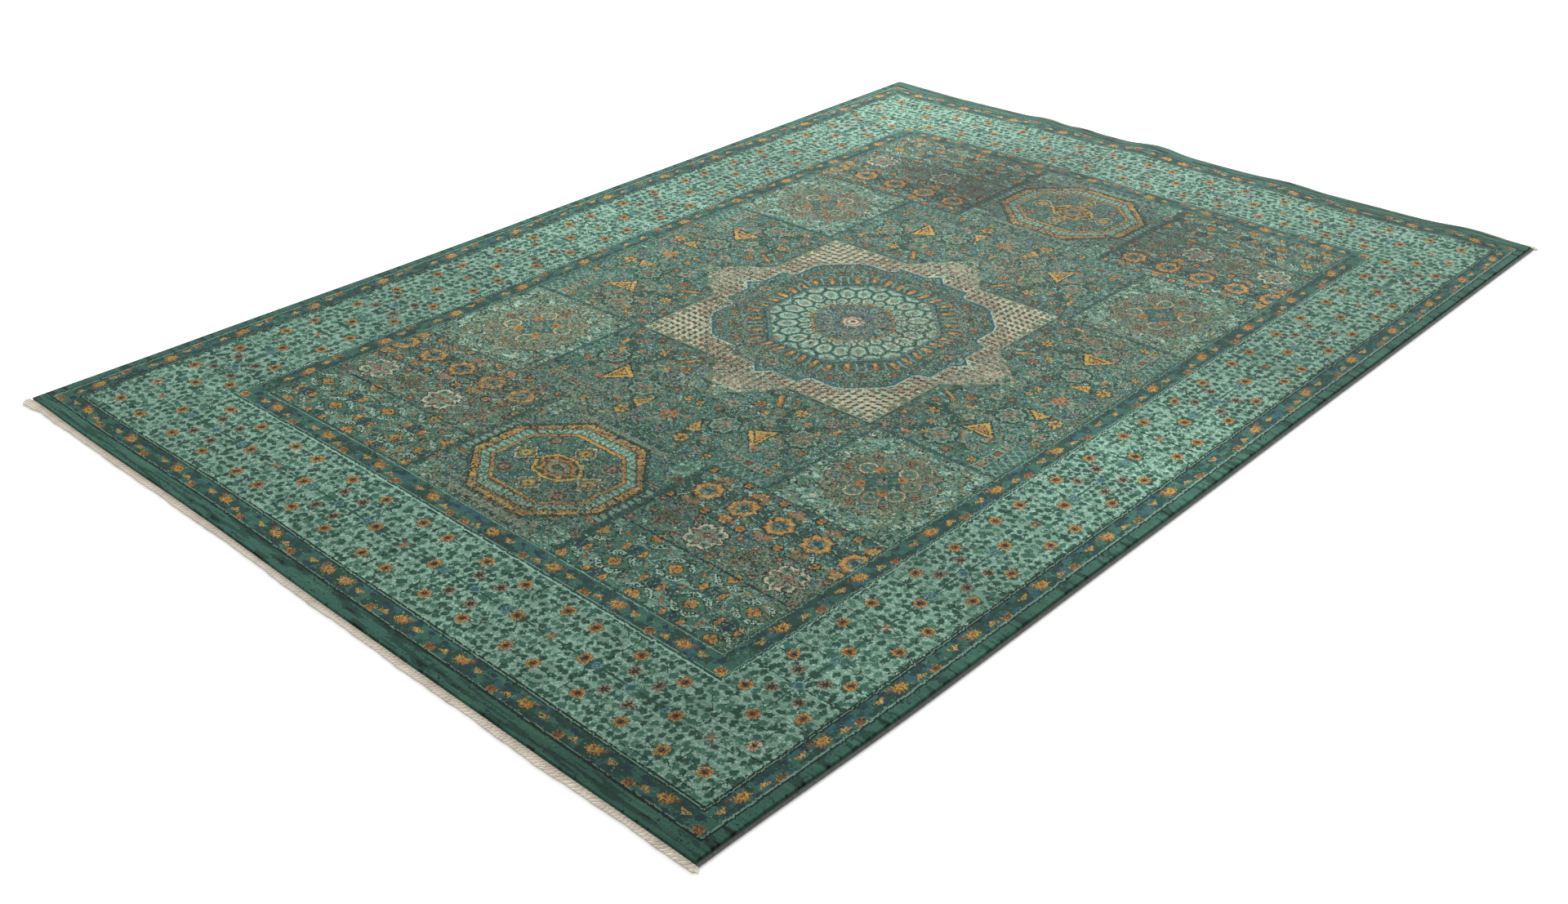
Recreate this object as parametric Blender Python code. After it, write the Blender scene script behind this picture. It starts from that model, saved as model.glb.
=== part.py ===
"""Hand-knotted Mamluk rug, lying flat on a floor.

Five pieces: the knotted wool body, a two-cord overcast selvedge down each long
side, and an off-white twined strip across each end.  Metres, +Z up.  X runs across
the rug, Y along it with the near end towards -Y, and the underside lies at Z = 0.
"""
import math

import bmesh
import bpy

# ---------------------------------------------------------------- driving sizes
PILE_WIDTH = 1.718          # knotted body, between the two selvedges
PILE_LENGTH = 2.420         # knotted body, between the two end strips
PILE_THICKNESS = 0.0070     # foundation and clipped pile together
SHOULDER_HEIGHT = 0.0052    # where the pile's cut edge starts to round over
SHOULDER_INSET = 0.0016     # how far the rounding draws in at the top
GAP = 0.0003                # between neighbouring pieces

CORD_HALF_WIDTH = 0.0016    # one overcast cord of a selvedge
CORD_HALF_HEIGHT = 0.0026
CORD_SPACING = 0.0025       # between the centres of a selvedge's two cords
CORD_POINTS = 5             # points round each cord, between the necks

STRIP_THICKNESS = 0.0040
STRIP_ROUNDING = 0.0011

STATIONS_ACROSS = 50        # even steps across the rug
ROWS_ALONG = 11             # even steps along the part that lies dead flat
RIPPLE_REACH = 0.170        # how far in from the far end the ripples die away
RIPPLE_ROWS = (0.130, 0.095, 0.062, 0.034, 0.013, 0.0)   # distances from the far end

HALF_WIDTH = PILE_WIDTH / 2
HALF_LENGTH = PILE_LENGTH / 2

# How far each edge wanders outwards from a true rectangle.
# Columns: distance along the edge (m), outward offset (m).
# The long sides are measured from the near end, the two ends from the left side.
LEFT_EDGE = ((0.00, 0.000), (0.30, -0.003), (0.86, -0.009), (1.45, -0.005), (2.42, 0.000))
RIGHT_EDGE = ((0.00, 0.000), (0.42, 0.007), (0.95, 0.005), (1.60, 0.002), (2.42, 0.000))
NEAR_EDGE = ((0.00, 0.000), (0.22, 0.002), (0.58, -0.001), (0.95, 0.002), (1.40, 0.001), (1.718, -0.001))
FAR_EDGE = ((0.00, 0.000), (0.22, -0.007), (0.50, 0.000), (0.81, 0.003), (1.05, -0.003), (1.40, -0.004),
            (1.718, 0.000))

# Low ripples that lift the far end off the floor.
# Columns: crest's distance from the left side (m), crest height (m), half width (m).
RIPPLES = (
    (0.490, 0.0050, 0.075),
    (0.600, 0.0030, 0.060),
    (0.815, 0.0075, 0.095),
    (1.165, 0.0040, 0.100),
    (1.590, 0.0055, 0.110),
)

# Outline of the twined end strips, walked along from the left corner as seen from outside.
# Columns: distance from the body's corner (m), drift away from the body (m), strip width (m).
NEAR_STRIP = (
    (-0.0110, 0.0060, 0.0050),
    (-0.0070, 0.0035, 0.0125),
    (0.0020, 0.0010, 0.0190),
    (0.0160, 0.0000, 0.0185),
    (0.0600, 0.0000, 0.0125),
    (0.3000, 0.0000, 0.0105),
    (0.5600, 0.0000, 0.0125),
    (0.6400, 0.0000, 0.0100),
    (1.0000, 0.0000, 0.0115),
    (1.4000, 0.0000, 0.0125),
    (1.6600, 0.0000, 0.0100),
    (1.7230, 0.0005, 0.0095),
    (1.7265, 0.0020, 0.0050),
)
FAR_STRIP = (
    (-0.0110, 0.0040, 0.0050),
    (-0.0060, 0.0020, 0.0100),
    (0.0200, 0.0000, 0.0110),
    (0.4500, 0.0000, 0.0115),
    (0.9000, 0.0000, 0.0100),
    (1.3000, 0.0000, 0.0120),
    (1.6900, 0.0000, 0.0105),
    (1.7230, 0.0010, 0.0100),
    (1.7270, 0.0030, 0.0045),
)

# Piece, colour, roughness.
FINISHES = {
    "pile_wool": ((0.135, 0.270, 0.225), 0.85),
    "selvedge_wool": ((0.120, 0.150, 0.140), 0.80),
    "end_cotton": ((0.620, 0.560, 0.500), 0.90),
}


# ------------------------------------------------------------------ the lie of the rug
def smooth(t):
    """An S-curve from 0 to 1, flat at both ends."""
    t = min(max(t, 0.0), 1.0)
    return t * t * (3 - 2 * t)


def along(rows, place, column):
    """Reads one column of a table at a place along its first column, eased between rows."""
    if place <= rows[0][0]:
        return rows[0][column]
    for low, high in zip(rows, rows[1:]):
        if place <= high[0]:
            step = smooth((place - low[0]) / (high[0] - low[0]))
            return low[column] + step * (high[column] - low[column])
    return rows[-1][column]


def lift(x, y):
    """Height of the underside above the floor: zero but for the ripples of the far end."""
    near_end = smooth(1 - (HALF_LENGTH - y) / RIPPLE_REACH)
    height = 0.0
    for crest, rise, half_width in RIPPLES:
        away = min(abs(x + HALF_WIDTH - crest) / half_width, 1.0)
        height += rise * (0.5 + 0.5 * math.cos(math.pi * away))
    return height * near_end


def lie(x, y, z):
    """Moves a point of the true rectangle to where it lies, with its edges wandering."""
    side = (1 + x / HALF_WIDTH) / 2
    end = (1 + y / HALF_LENGTH) / 2
    moved_x = x + side * along(RIGHT_EDGE, y + HALF_LENGTH, 1)
    moved_x -= (1 - side) * along(LEFT_EDGE, y + HALF_LENGTH, 1)
    moved_y = y + end * along(FAR_EDGE, x + HALF_WIDTH, 1)
    moved_y -= (1 - end) * along(NEAR_EDGE, x + HALF_WIDTH, 1)
    return moved_x, moved_y, z + lift(x, y)


def stations():
    """Even places across the rug, from the left side to the right."""
    return [-HALF_WIDTH + PILE_WIDTH * step / STATIONS_ACROSS for step in range(STATIONS_ACROSS + 1)]


def rows():
    """Places along the rug: even steps while it is flat, then closer ones through the ripples."""
    flat = PILE_LENGTH - RIPPLE_REACH
    even = [-HALF_LENGTH + flat * step / ROWS_ALONG for step in range(ROWS_ALONG + 1)]
    return even + [HALF_LENGTH - distance for distance in RIPPLE_ROWS]


# ------------------------------------------------------------------ mesh helpers
def finish(name):
    """The Principled material of one of the rug's yarns."""
    colour, roughness = FINISHES[name]
    material = bpy.data.materials.get(name) or bpy.data.materials.new(name)
    material.use_nodes = True
    shader = material.node_tree.nodes["Principled BSDF"]
    shader.inputs["Base Color"].default_value = (*colour, 1.0)
    shader.inputs["Roughness"].default_value = roughness
    shader.inputs["Metallic"].default_value = 0.0
    return material


def piece(name, mesh, material_name, parent, rounded=False):
    """Turns a bmesh into a named object that hangs under the rug's own empty."""
    bmesh.ops.recalc_face_normals(mesh, faces=mesh.faces)
    data = bpy.data.meshes.new(name)
    mesh.to_mesh(data)
    mesh.free()
    data.materials.append(finish(material_name))
    if rounded:
        data.shade_smooth()
        data.set_sharp_from_angle(angle=math.radians(50))
    thing = bpy.data.objects.new(name, data)
    bpy.context.collection.objects.link(thing)
    thing.parent = parent
    return thing


def bridge(mesh, first, second, closed):
    """Fills the band of quads between two rows of vertices."""
    count = len(first)
    for step in range(count if closed else count - 1):
        after = (step + 1) % count
        mesh.faces.new((first[step], first[after], second[after], second[step]))


def loft(mesh, sections):
    """Skins closed sections into one body and caps both of its ends."""
    rings = [[mesh.verts.new(point) for point in section] for section in sections]
    for first, second in zip(rings, rings[1:]):
        bridge(mesh, first, second, closed=True)
    mesh.faces.new(rings[0])
    mesh.faces.new(reversed(rings[-1]))


# ------------------------------------------------------------------ the pieces
def knotted_body(parent):
    """The wool body: a flat slab whose cut pile rounds over along all four edges."""
    mesh = bmesh.new()
    across, lengthwise = stations(), rows()

    def drawn_in(value, half):
        return max(min(value, half - SHOULDER_INSET), SHOULDER_INSET - half)

    under = [[mesh.verts.new(lie(x, y, 0.0)) for x in across] for y in lengthwise]
    upper = [[mesh.verts.new(lie(drawn_in(x, HALF_WIDTH), drawn_in(y, HALF_LENGTH), PILE_THICKNESS))
              for x in across] for y in lengthwise]
    for layer in (under, upper):
        for first, second in zip(layer, layer[1:]):
            bridge(mesh, first, second, closed=False)

    def rim(layer):
        right = [row[-1] for row in layer[1:-1]]
        left = [row[0] for row in layer[1:-1]]
        return layer[0] + right + layer[-1][::-1] + left[::-1]

    outline = [(x, lengthwise[0]) for x in across]
    outline += [(across[-1], y) for y in lengthwise[1:-1]]
    outline += [(x, lengthwise[-1]) for x in reversed(across)]
    outline += [(across[0], y) for y in reversed(lengthwise[1:-1])]
    shoulder = [mesh.verts.new(lie(x, y, SHOULDER_HEIGHT)) for x, y in outline]
    bridge(mesh, rim(under), shoulder, closed=True)
    bridge(mesh, shoulder, rim(upper), closed=True)
    return piece("rug_body", mesh, "pile_wool", parent)


def selvedge(name, side, parent):
    """Two overcast cords side by side, as one body that follows the long edge."""
    reach = CORD_SPACING / 2 + CORD_HALF_WIDTH
    neck = math.acos(CORD_SPACING / 2 / CORD_HALF_WIDTH)
    turn = (2 * math.pi - 2 * neck) / (CORD_POINTS + 1)
    profile = []
    for cord in (-1, 1):
        for step in range(CORD_POINTS + 1):
            angle = neck + step * turn
            outward = reach + cord * (CORD_SPACING / 2 - CORD_HALF_WIDTH * math.cos(angle))
            height = CORD_HALF_HEIGHT * (1 - cord * math.sin(angle))
            profile.append((outward, height))
    mesh = bmesh.new()
    sections = []
    for y in rows():
        sections.append([lie(side * (HALF_WIDTH + GAP + outward), y, height) for outward, height in profile])
    loft(mesh, sections)
    return piece(name, mesh, "selvedge_wool", parent, rounded=True)


def end_strip(name, end, outline, parent):
    """The twined strip beyond one end, blunt and a little flared at its corners."""
    places = [row[0] for row in outline if row[0] < 0 or row[0] > PILE_WIDTH]
    places += [x + HALF_WIDTH for x in stations()]
    mesh = bmesh.new()
    sections = []
    for place in sorted(places):
        inner = GAP + along(outline, place, 1)
        outer = inner + along(outline, place, 2)
        top = STRIP_THICKNESS
        profile = (
            (inner, 0.0),
            (outer - STRIP_ROUNDING, 0.0),
            (outer, STRIP_ROUNDING),
            (outer, top - STRIP_ROUNDING),
            (outer - STRIP_ROUNDING, top),
            (inner, top),
        )
        x = end * (HALF_WIDTH - place)
        sections.append([lie(x, end * (HALF_LENGTH + beyond), height) for beyond, height in profile])
    loft(mesh, sections)
    return piece(name, mesh, "end_cotton", parent)


def centre_on_floor(parent, pieces):
    """Shifts the whole rug so that the middle of its outer box stands on the origin."""
    corners = [vertex.co for thing in pieces for vertex in thing.data.vertices]
    spans = [(min(c[axis] for c in corners), max(c[axis] for c in corners)) for axis in (0, 1)]
    parent.location = (-sum(spans[0]) / 2, -sum(spans[1]) / 2, 0.0)


def build():
    """Makes every piece of the rug."""
    rug = bpy.data.objects.new("rug", None)
    bpy.context.collection.objects.link(rug)
    pieces = [
        knotted_body(rug),
        selvedge("selvedge_left", -1, rug),
        selvedge("selvedge_right", 1, rug),
        end_strip("end_strip_near", -1, NEAR_STRIP, rug),
        end_strip("end_strip_far", 1, FAR_STRIP, rug),
    ]
    centre_on_floor(rug, pieces)


for old in list(bpy.data.objects):
    bpy.data.objects.remove(old, do_unlink=True)
build()
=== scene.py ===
# %% [markdown]
# # A Mamluk rug, knot by knot
#
# A hand-knotted rug is built in one direction only. The weaver ties a row of knots across the
# loom, beats it down, and starts the next. A paper chart beside the loom says which yarn each
# knot takes. This lesson follows the same order: dye the yarns, draw the chart, tie it into a
# pile, then finish the sides and ends, and lay the rug on a floor.

# %% [markdown]
# ## The frame
#
# The measured model of the rug comes first. Its box says how much room the finished rug may
# take, and its knotted body says where the pile and its foundation belong.

# %% Load the frame
import math

import bmesh
import bpy
import numpy as np
from mathutils import Matrix, Vector


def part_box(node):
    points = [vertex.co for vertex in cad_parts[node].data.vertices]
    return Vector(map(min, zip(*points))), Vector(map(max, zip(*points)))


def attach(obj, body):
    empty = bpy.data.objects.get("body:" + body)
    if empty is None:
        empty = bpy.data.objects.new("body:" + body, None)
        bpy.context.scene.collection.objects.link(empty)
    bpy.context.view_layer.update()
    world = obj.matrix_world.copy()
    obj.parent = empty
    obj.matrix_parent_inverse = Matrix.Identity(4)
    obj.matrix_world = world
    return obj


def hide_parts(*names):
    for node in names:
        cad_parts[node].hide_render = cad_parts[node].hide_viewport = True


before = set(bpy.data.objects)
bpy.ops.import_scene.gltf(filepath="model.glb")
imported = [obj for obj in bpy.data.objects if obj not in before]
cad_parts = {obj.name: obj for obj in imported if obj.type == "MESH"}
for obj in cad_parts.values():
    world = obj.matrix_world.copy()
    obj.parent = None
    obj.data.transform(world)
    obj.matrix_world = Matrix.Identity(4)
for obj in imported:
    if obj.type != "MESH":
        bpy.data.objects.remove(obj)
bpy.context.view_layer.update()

body_low = Vector(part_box("rug_body")[0])

# %% [markdown]
# ## The yarns
#
# The dye house prepares sixteen lots of wool. Greens and blues carry the design. Gold, orange
# and rust are the sparks, and ivory, mint and rose are the lights. A chart needs a short sign
# for each yarn, so each has a letter here. The colours are what the eye sees on a screen,
# in steps from 0 to 255.

# %% Dye the yarns
YARNS = {
    "k": ("black green", (12, 26, 20)),
    "d": ("bottle green", (26, 56, 46)),
    "t": ("teal", (43, 79, 68)),
    "b": ("petrol blue", (38, 74, 77)),
    "n": ("navy", (25, 44, 55)),
    "y": ("sky blue", (82, 112, 113)),
    "l": ("leaf green", (50, 88, 70)),
    "s": ("sea foam", (92, 121, 106)),
    "m": ("mint", (124, 153, 138)),
    "i": ("ivory", (153, 148, 124)),
    "g": ("gold", (152, 122, 56)),
    "o": ("orange", (128, 89, 42)),
    "r": ("rust", (94, 60, 42)),
    "w": ("walnut", (56, 46, 30)),
    "p": ("dusty rose", (112, 101, 86)),
    "v": ("olive", (86, 94, 66)),
}
YARN = {letter: number for number, letter in enumerate(YARNS)}
print(len(YARNS), "yarns:", ", ".join(name for name, _ in YARNS.values()))

# %% [markdown]
# ## Drawing on squared paper
#
# A chart is squared paper with one square for a knot. Everything below draws on such paper:
# discs, lines, filled outlines, and small charts that are stamped down again and again.

# %% The squared paper
ACROSS, ALONG = 1016, 1432
HALF_X, HALF_Y = ACROSS // 2, ALONG // 2
FOUR_WAYS = ((-1, -1), (-1, 1), (1, -1), (1, 1))


class Chart:
    """A block of knots. x runs across and y towards the near end, counted in knots from a centre."""

    def __init__(self, across, along, yarn, left=0, top=0):
        self.knots = np.full((along, across), YARN[yarn], np.uint8)
        self.left, self.top = left, top

    def window(self, x, y, reach):
        """The knots within reach of a place, and their offsets from it."""
        rows, columns = self.knots.shape
        c0, c1 = max(int(x - reach - self.left), 0), min(int(x + reach - self.left) + 2, columns)
        r0, r1 = max(int(y - reach - self.top), 0), min(int(y + reach - self.top) + 2, rows)
        c0, r0 = min(c0, columns), min(r0, rows)
        c1, r1 = max(c1, c0), max(r1, r0)
        part = self.knots[r0:r1, c0:c1]
        dx, dy = np.meshgrid(np.arange(c0, c1) + 0.5 + self.left - x, np.arange(r0, r1) + 0.5 + self.top - y)
        return part, dx, dy

    def all(self):
        rows, columns = self.knots.shape
        return np.meshgrid(np.arange(columns) + 0.5 + self.left, np.arange(rows) + 0.5 + self.top)

    def fill(self, mask, yarn):
        self.knots[mask] = YARN[yarn]

    def lay(self, within, *layers):
        """Fills one mask over another, but only within a region."""
        for mask, yarn in layers:
            self.fill(within & mask, yarn)

    def paste(self, left, top, knots):
        """Copies a finished piece of chart to its place."""
        rows, columns = knots.shape
        self.knots[top:top + rows, left:left + columns] = knots


def disc(chart, x, y, r, yarn, squash=1.0):
    part, dx, dy = chart.window(x, y, r * max(1, 1 / squash))
    part[np.hypot(dx, dy * squash) < r] = YARN[yarn]


def ring(chart, x, y, r, width, yarn):
    part, dx, dy = chart.window(x, y, r + width)
    part[np.abs(np.hypot(dx, dy) - r) < width / 2] = YARN[yarn]


def diamond(chart, x, y, rx, ry, yarn):
    part, dx, dy = chart.window(x, y, max(rx, ry))
    part[np.abs(dx) / rx + np.abs(dy) / ry < 1] = YARN[yarn]


def block(chart, x, y, hx, hy, yarn):
    part, dx, dy = chart.window(x, y, max(hx, hy))
    part[(np.abs(dx) < hx) & (np.abs(dy) < hy)] = YARN[yarn]


def nest(draw, chart, x, y, *steps):
    """One outline inside another. Each step gives its size and its yarn."""
    for *size, yarn in steps:
        draw(chart, x, y, *size, yarn)


def line(chart, points, width, yarn):
    """A line of knots through a few points."""
    for (ax, ay), (bx, by) in zip(points, points[1:]):
        reach = max(abs(bx - ax), abs(by - ay)) / 2 + width
        part, dx, dy = chart.window((ax + bx) / 2, (ay + by) / 2, reach)
        ux, uy = bx - ax, by - ay
        size = ux * ux + uy * uy
        t = np.clip((dx * ux + dy * uy) / size, -0.5, 0.5)
        part[np.hypot(dx - t * ux, dy - t * uy) < width / 2] = YARN[yarn]


def shape(chart, points, yarn):
    """Fills a closed outline, by counting how often each knot's row crosses it."""
    xs, ys = zip(*points)
    cx, cy = (min(xs) + max(xs)) / 2, (min(ys) + max(ys)) / 2
    part, dx, dy = chart.window(cx, cy, max(max(xs) - min(xs), max(ys) - min(ys)) / 2)
    px, py = dx + cx, dy + cy
    inside = np.zeros(px.shape, bool)
    for (ax, ay), (bx, by) in zip(points, points[1:] + points[:1]):
        if ay != by:
            crosses = (ay > py) != (by > py)
            inside ^= crosses & (px < ax + (py - ay) * (bx - ax) / (by - ay))
    part[inside] = YARN[yarn]


def lobed(chart, x, y, r, lobes):
    """Knots round a flower: how far out they are, how far out its rim is, and how far off a gap is."""
    part, dx, dy = chart.window(x, y, r + 2)
    d, a = np.hypot(dx, dy), np.arctan2(dy, dx)
    return part, d, np.cos(lobes * a), np.abs(np.sin(lobes * (a + math.pi / lobes) / 2)) * d * 2 / lobes * 2


def rosette(chart, x, y, r, petals, gaps, heart, eye, lobes=8, rim=None):
    """A round flower with lobes, dark gaps between its petals, a heart and an eye."""
    part, d, wave, gap = lobed(chart, x, y, r, lobes)
    edge = r * (0.88 + 0.12 * wave)
    part[d < edge] = YARN[rim or petals]
    part[d < edge - (1.5 if rim else 0)] = YARN[petals]
    part[(gap < 1.0) & (d < edge) & (d > r * 0.3)] = YARN[gaps]
    part[d < r * 0.42] = YARN[heart]
    part[d < r * 0.2] = YARN[eye]


def hollow(chart, x, y, r, rim, inside, heart, eye, lobes=8):
    """A rosette drawn in outline: the petals keep the colour inside them."""
    part, d, wave, gap = lobed(chart, x, y, r, lobes)
    edge = r * (0.86 + 0.14 * wave)
    part[d < edge + 1.2] = YARN["d"]
    part[d < edge] = YARN[rim]
    part[d < edge - 1.5] = YARN[inside]
    part[(gap < 1.1) & (d < edge)] = YARN[rim]
    part[d < r * 0.36] = YARN[heart]
    part[d < r * 0.18] = YARN[eye]


PATCHES = 64                # soft patches in a row, before the same ones come again


def clouds(x, y, size, seed):
    """Soft patches between 0 and 1. size is the width of a patch."""
    grid = np.random.default_rng(seed).random((PATCHES, PATCHES))
    x, y = x / size + 9.5, y / size + 9.5
    column, row = np.floor(x).astype(int), np.floor(y).astype(int)
    fx, fy = x - column, y - row
    fx, fy = fx * fx * (3 - 2 * fx), fy * fy * (3 - 2 * fy)
    column, row = column % (PATCHES - 1), row % (PATCHES - 1)
    upper = grid[row, column] * (1 - fx) + grid[row, column + 1] * fx
    lower = grid[row + 1, column] * (1 - fx) + grid[row + 1, column + 1] * fx
    return upper * (1 - fy) + lower * fy


GROUND = 255                # marks a knot that a small chart leaves as it is


def stamp(chart, rows, x, y, turn=0, swap=""):
    """Knots a small chart. swap names yarns in pairs: the first is replaced by the second."""
    letters = dict(zip(swap[::2], swap[1::2]))
    motif = np.array([[YARN.get(letters.get(c, c), GROUND) for c in row] for row in rows], np.uint8)
    motif = np.rot90(motif, turn)
    h, w = motif.shape
    top, left = round(y - chart.top - h / 2), round(x - chart.left - w / 2)
    bottom, right = min(top + h, chart.knots.shape[0]), min(left + w, chart.knots.shape[1])
    r0, c0 = max(top, 0), max(left, 0)
    if bottom > r0 and right > c0:
        motif = motif[r0 - top:bottom - top, c0 - left:right - left]
        target = chart.knots[r0:bottom, c0:right]
        target[motif != GROUND] = motif[motif != GROUND]


def small(text):
    """Splits a small chart's drawing into rows of one length."""
    rows = text.split()
    width = max(len(row) for row in rows)
    return [row.ljust(width, ".") for row in rows]


def turned_over(text):
    """A small chart from its upper left quarter. The last row is the middle one, and stays single."""
    rows = [row + row[::-1] for row in small(text)]
    return rows + rows[-2::-1]


def scraps(text):
    """Several very small charts on one line, with a slash between their rows."""
    return [small(scrap.replace("/", " ")) for scrap in text.split()]


print("the paper has", ACROSS, "by", ALONG, "squares")

# %% [markdown]
# ## Small motifs
#
# A weaver knows these by heart. Each is a few knots wide, so each is drawn in letters.
# A dot leaves the ground as it is.

# %% Small motifs
TULIP = small("""
    g.....g.....g
    gg...ggg...gg
    ggg.ggogg.ggg
    .gggggooggggr
    .ggogoooogorr
    ..ggoorroorr.
    ...gorrrrrr..
    ....rrkrrr...
    .....rkrr....
    ......k......
""")
MOTIFS = (
    small("...l. .lll. lllll .lll. ..l.."),                     # leaf
    small("m...m .m.m. ..m.. .lml. l.k.l ..k.."),               # sprig
    small("y.....y yy.y.yy .yyyyy. ..yny.. ...k... ..lkl.."),   # cup
    small("...p... .p.p.p. ..pwp.. ppwrwpp ..pwp.. .p.p.p. ...p..."),   # star
    small("..n.. .nnn. nnynn .nnn. ..n.."),                     # cross
    small("s... ss.. .ss. ..ss ...s"),                          # slanting dash
    small(".mmm. m...m m.m.m m.mm. m.... .m..."),               # hook
    small(".nn. nmmn nmmn .nn."),                               # eye
    small("..v.. .vgv. vgogv .vgv. ..v.."),                     # lozenge
)


def sow(chart, allowed, pitch, motifs, seed, swaps, jitter):
    """Sows small charts over the allowed knots in staggered rows, each a little out of line.

    swaps are the changes of yarn to choose from. A dot there changes nothing.
    """
    rng = np.random.default_rng(seed)
    swaps = swaps.split()
    rows, columns = chart.knots.shape
    for i in range(int(rows / pitch) + 1):
        for j in range(int(columns / pitch) + 2):
            slip = rng.uniform(-jitter, jitter, 2)
            pick, turn, dye = rng.integers(len(motifs)), int(rng.integers(4)), rng.integers(len(swaps))
            row = (i + 0.5 + slip[0]) * pitch
            column = (j + 0.5 * (i % 2) + slip[1]) * pitch
            if 0 <= row < rows and 0 <= column < columns and allowed[int(row), int(column)]:
                stamp(chart, motifs[pick], column + chart.left, row + chart.top, turn, swaps[dye])


def open_rosette(chart, x, y, r, rim="i", petal="s"):
    """A large pale rosette with four brown pointed petals and four round ones with a green spot."""
    def petals(lobe, waist, tip, yarn):
        outline = ((0, -waist * 0.4), (tip * 0.62, -waist), (tip, 0), (tip * 0.62, waist), (0, waist * 0.4))
        for ux, uy in ((1, 0), (0, 1), (-1, 0), (0, -1)):
            shape(chart, [(x + ux * a - uy * b, y + uy * a + ux * b) for a, b in outline], yarn)
            if lobe:
                disc(chart, x + 0.42 * r * (ux - uy), y + 0.42 * r * (uy + ux), lobe * 1.16, yarn)

    for grow, yarn in ((2.8, "k"), (1.3, rim), (-0.9, petal)):
        disc(chart, x, y, r * 0.5 + grow, yarn)
        petals(r * 0.24 + grow, r * 0.24 + grow, r + grow, yarn)
    petals(0, r * 0.20, r * 0.84, "w")
    petals(0, r * 0.13, r * 0.74, "p")
    for sx, sy in FOUR_WAYS:
        nest(disc, chart, x + sx * r * 0.44, y + sy * r * 0.44, (r * 0.17, "l"), (r * 0.09, "d"))
        line(chart, [(x + 2 * sx, y + 2 * sy), (x + r * 0.34 * sx, y + r * 0.34 * sy)], 1.2, "p")
    disc(chart, x, y, r * 0.13, "r")


def busy_ground(chart, allowed, seed):
    """The close-packed ground of the field: short dashes and specks of many greens and blues."""
    x, y = chart.all()
    chart.lay(allowed, (clouds(x, y * 1.6, 12, seed) > 0.62, "b"),
              (clouds(x, y * 1.6, 10, seed + 1) > 0.60, "l"), (clouds(x, y * 1.4, 9, seed + 2) > 0.74, "d"))
    sow(chart, allowed, 4.4, scraps("sss/s .ss/s ss/.s/s ssss"), seed, ". sl . sm sy sv sl sp", 0.5)
    sow(chart, allowed, 6.2, scraps("dd/.d d/.d/..d ddd pp/.p"), seed + 1, ". dk dn dkpv dkpw", 0.5)


print(len(MOTIFS), "small motifs for sowing")

# %% [markdown]
# ## The centre square
#
# The eight-sided medallion, the star-shaped net round it and the four corner squares are one
# square panel. The weaver knots an eighth of it, turns it over a slanting line to make a
# quarter, and repeats the quarter on the other three sides. So only an eighth is drawn here.

# %% The centre square
S = 336
CORNER_X, CORNER_Y = 178, 169           # where the square in each corner begins
# Each row's radius, then the half width and half length of its petals.
PETAL_ROWS = ((44, 5.2, 8.5), (57, 7.2, 8.5), (76, 9.4, 13.5), (98, 12.4, 11))


def honeycomb(p, q):
    """Staggered petals round the core, 24 in a row: how near their own middle is, and the next one."""
    near = np.full(p.shape, 1e6)
    second = near.copy()
    radius, angle = np.hypot(p, q), np.arctan2(q, p)
    for number, (middle, half_width, half_length) in enumerate(PETAL_ROWS):
        for step in range(-1, 5):
            turn = math.radians(15 * (step + 0.5 * (number % 2)))
            d = np.hypot((radius - middle) / half_length, (angle - turn) * radius / half_width)
            second = np.minimum(second, np.maximum(near, d))
            near = np.minimum(near, d)
    return near, second


def gold_triangle(chart, low, high, left, right, mid):
    """A gold triangle with an orange one inside it, drawn smaller and smaller."""
    tall = high - low
    for drop, inset, rise, yarn in (
            (-0.10, -4, -0.06, "k"), (0, 0, 0, "g"), (0.30, 8, 0.12, "w"), (0.40, 11, 0.18, "g")):
        top = high - tall * rise
        shape(chart, [(mid, low + tall * drop), (left + inset, top), (right - inset, top)], yarn)
    top = high - tall * 0.24
    shape(chart, [(mid + 2, low + tall * 0.56), (mid - 3, top), (right - 14, top)], "o")


def zigzag_box(chart):
    """The upright box of zigzags at the side, with four small framed diamonds beside it."""
    block(chart, 320, 137, 18, 27, "t")
    for cy, yarn in ((118, "p"), (132, "r"), (146, "p"), (159, "o")):
        nest(block, chart, 307, cy, (6, 7, "s"), (4.5, 5.5, "w"))
        diamond(chart, 307, cy, 4.5, 5, yarn)
    for top in range(108, 168, 10):
        for side in (-1, 1):
            outer = 324.5 + 8.5 * side
            line(chart, [(outer, top), (324.5 - 0.5 * side, top + 5), (outer, top + 10)], 1.6, "s")
        diamond(chart, 324.5, top + 10, 3, 3, "b")


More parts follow.
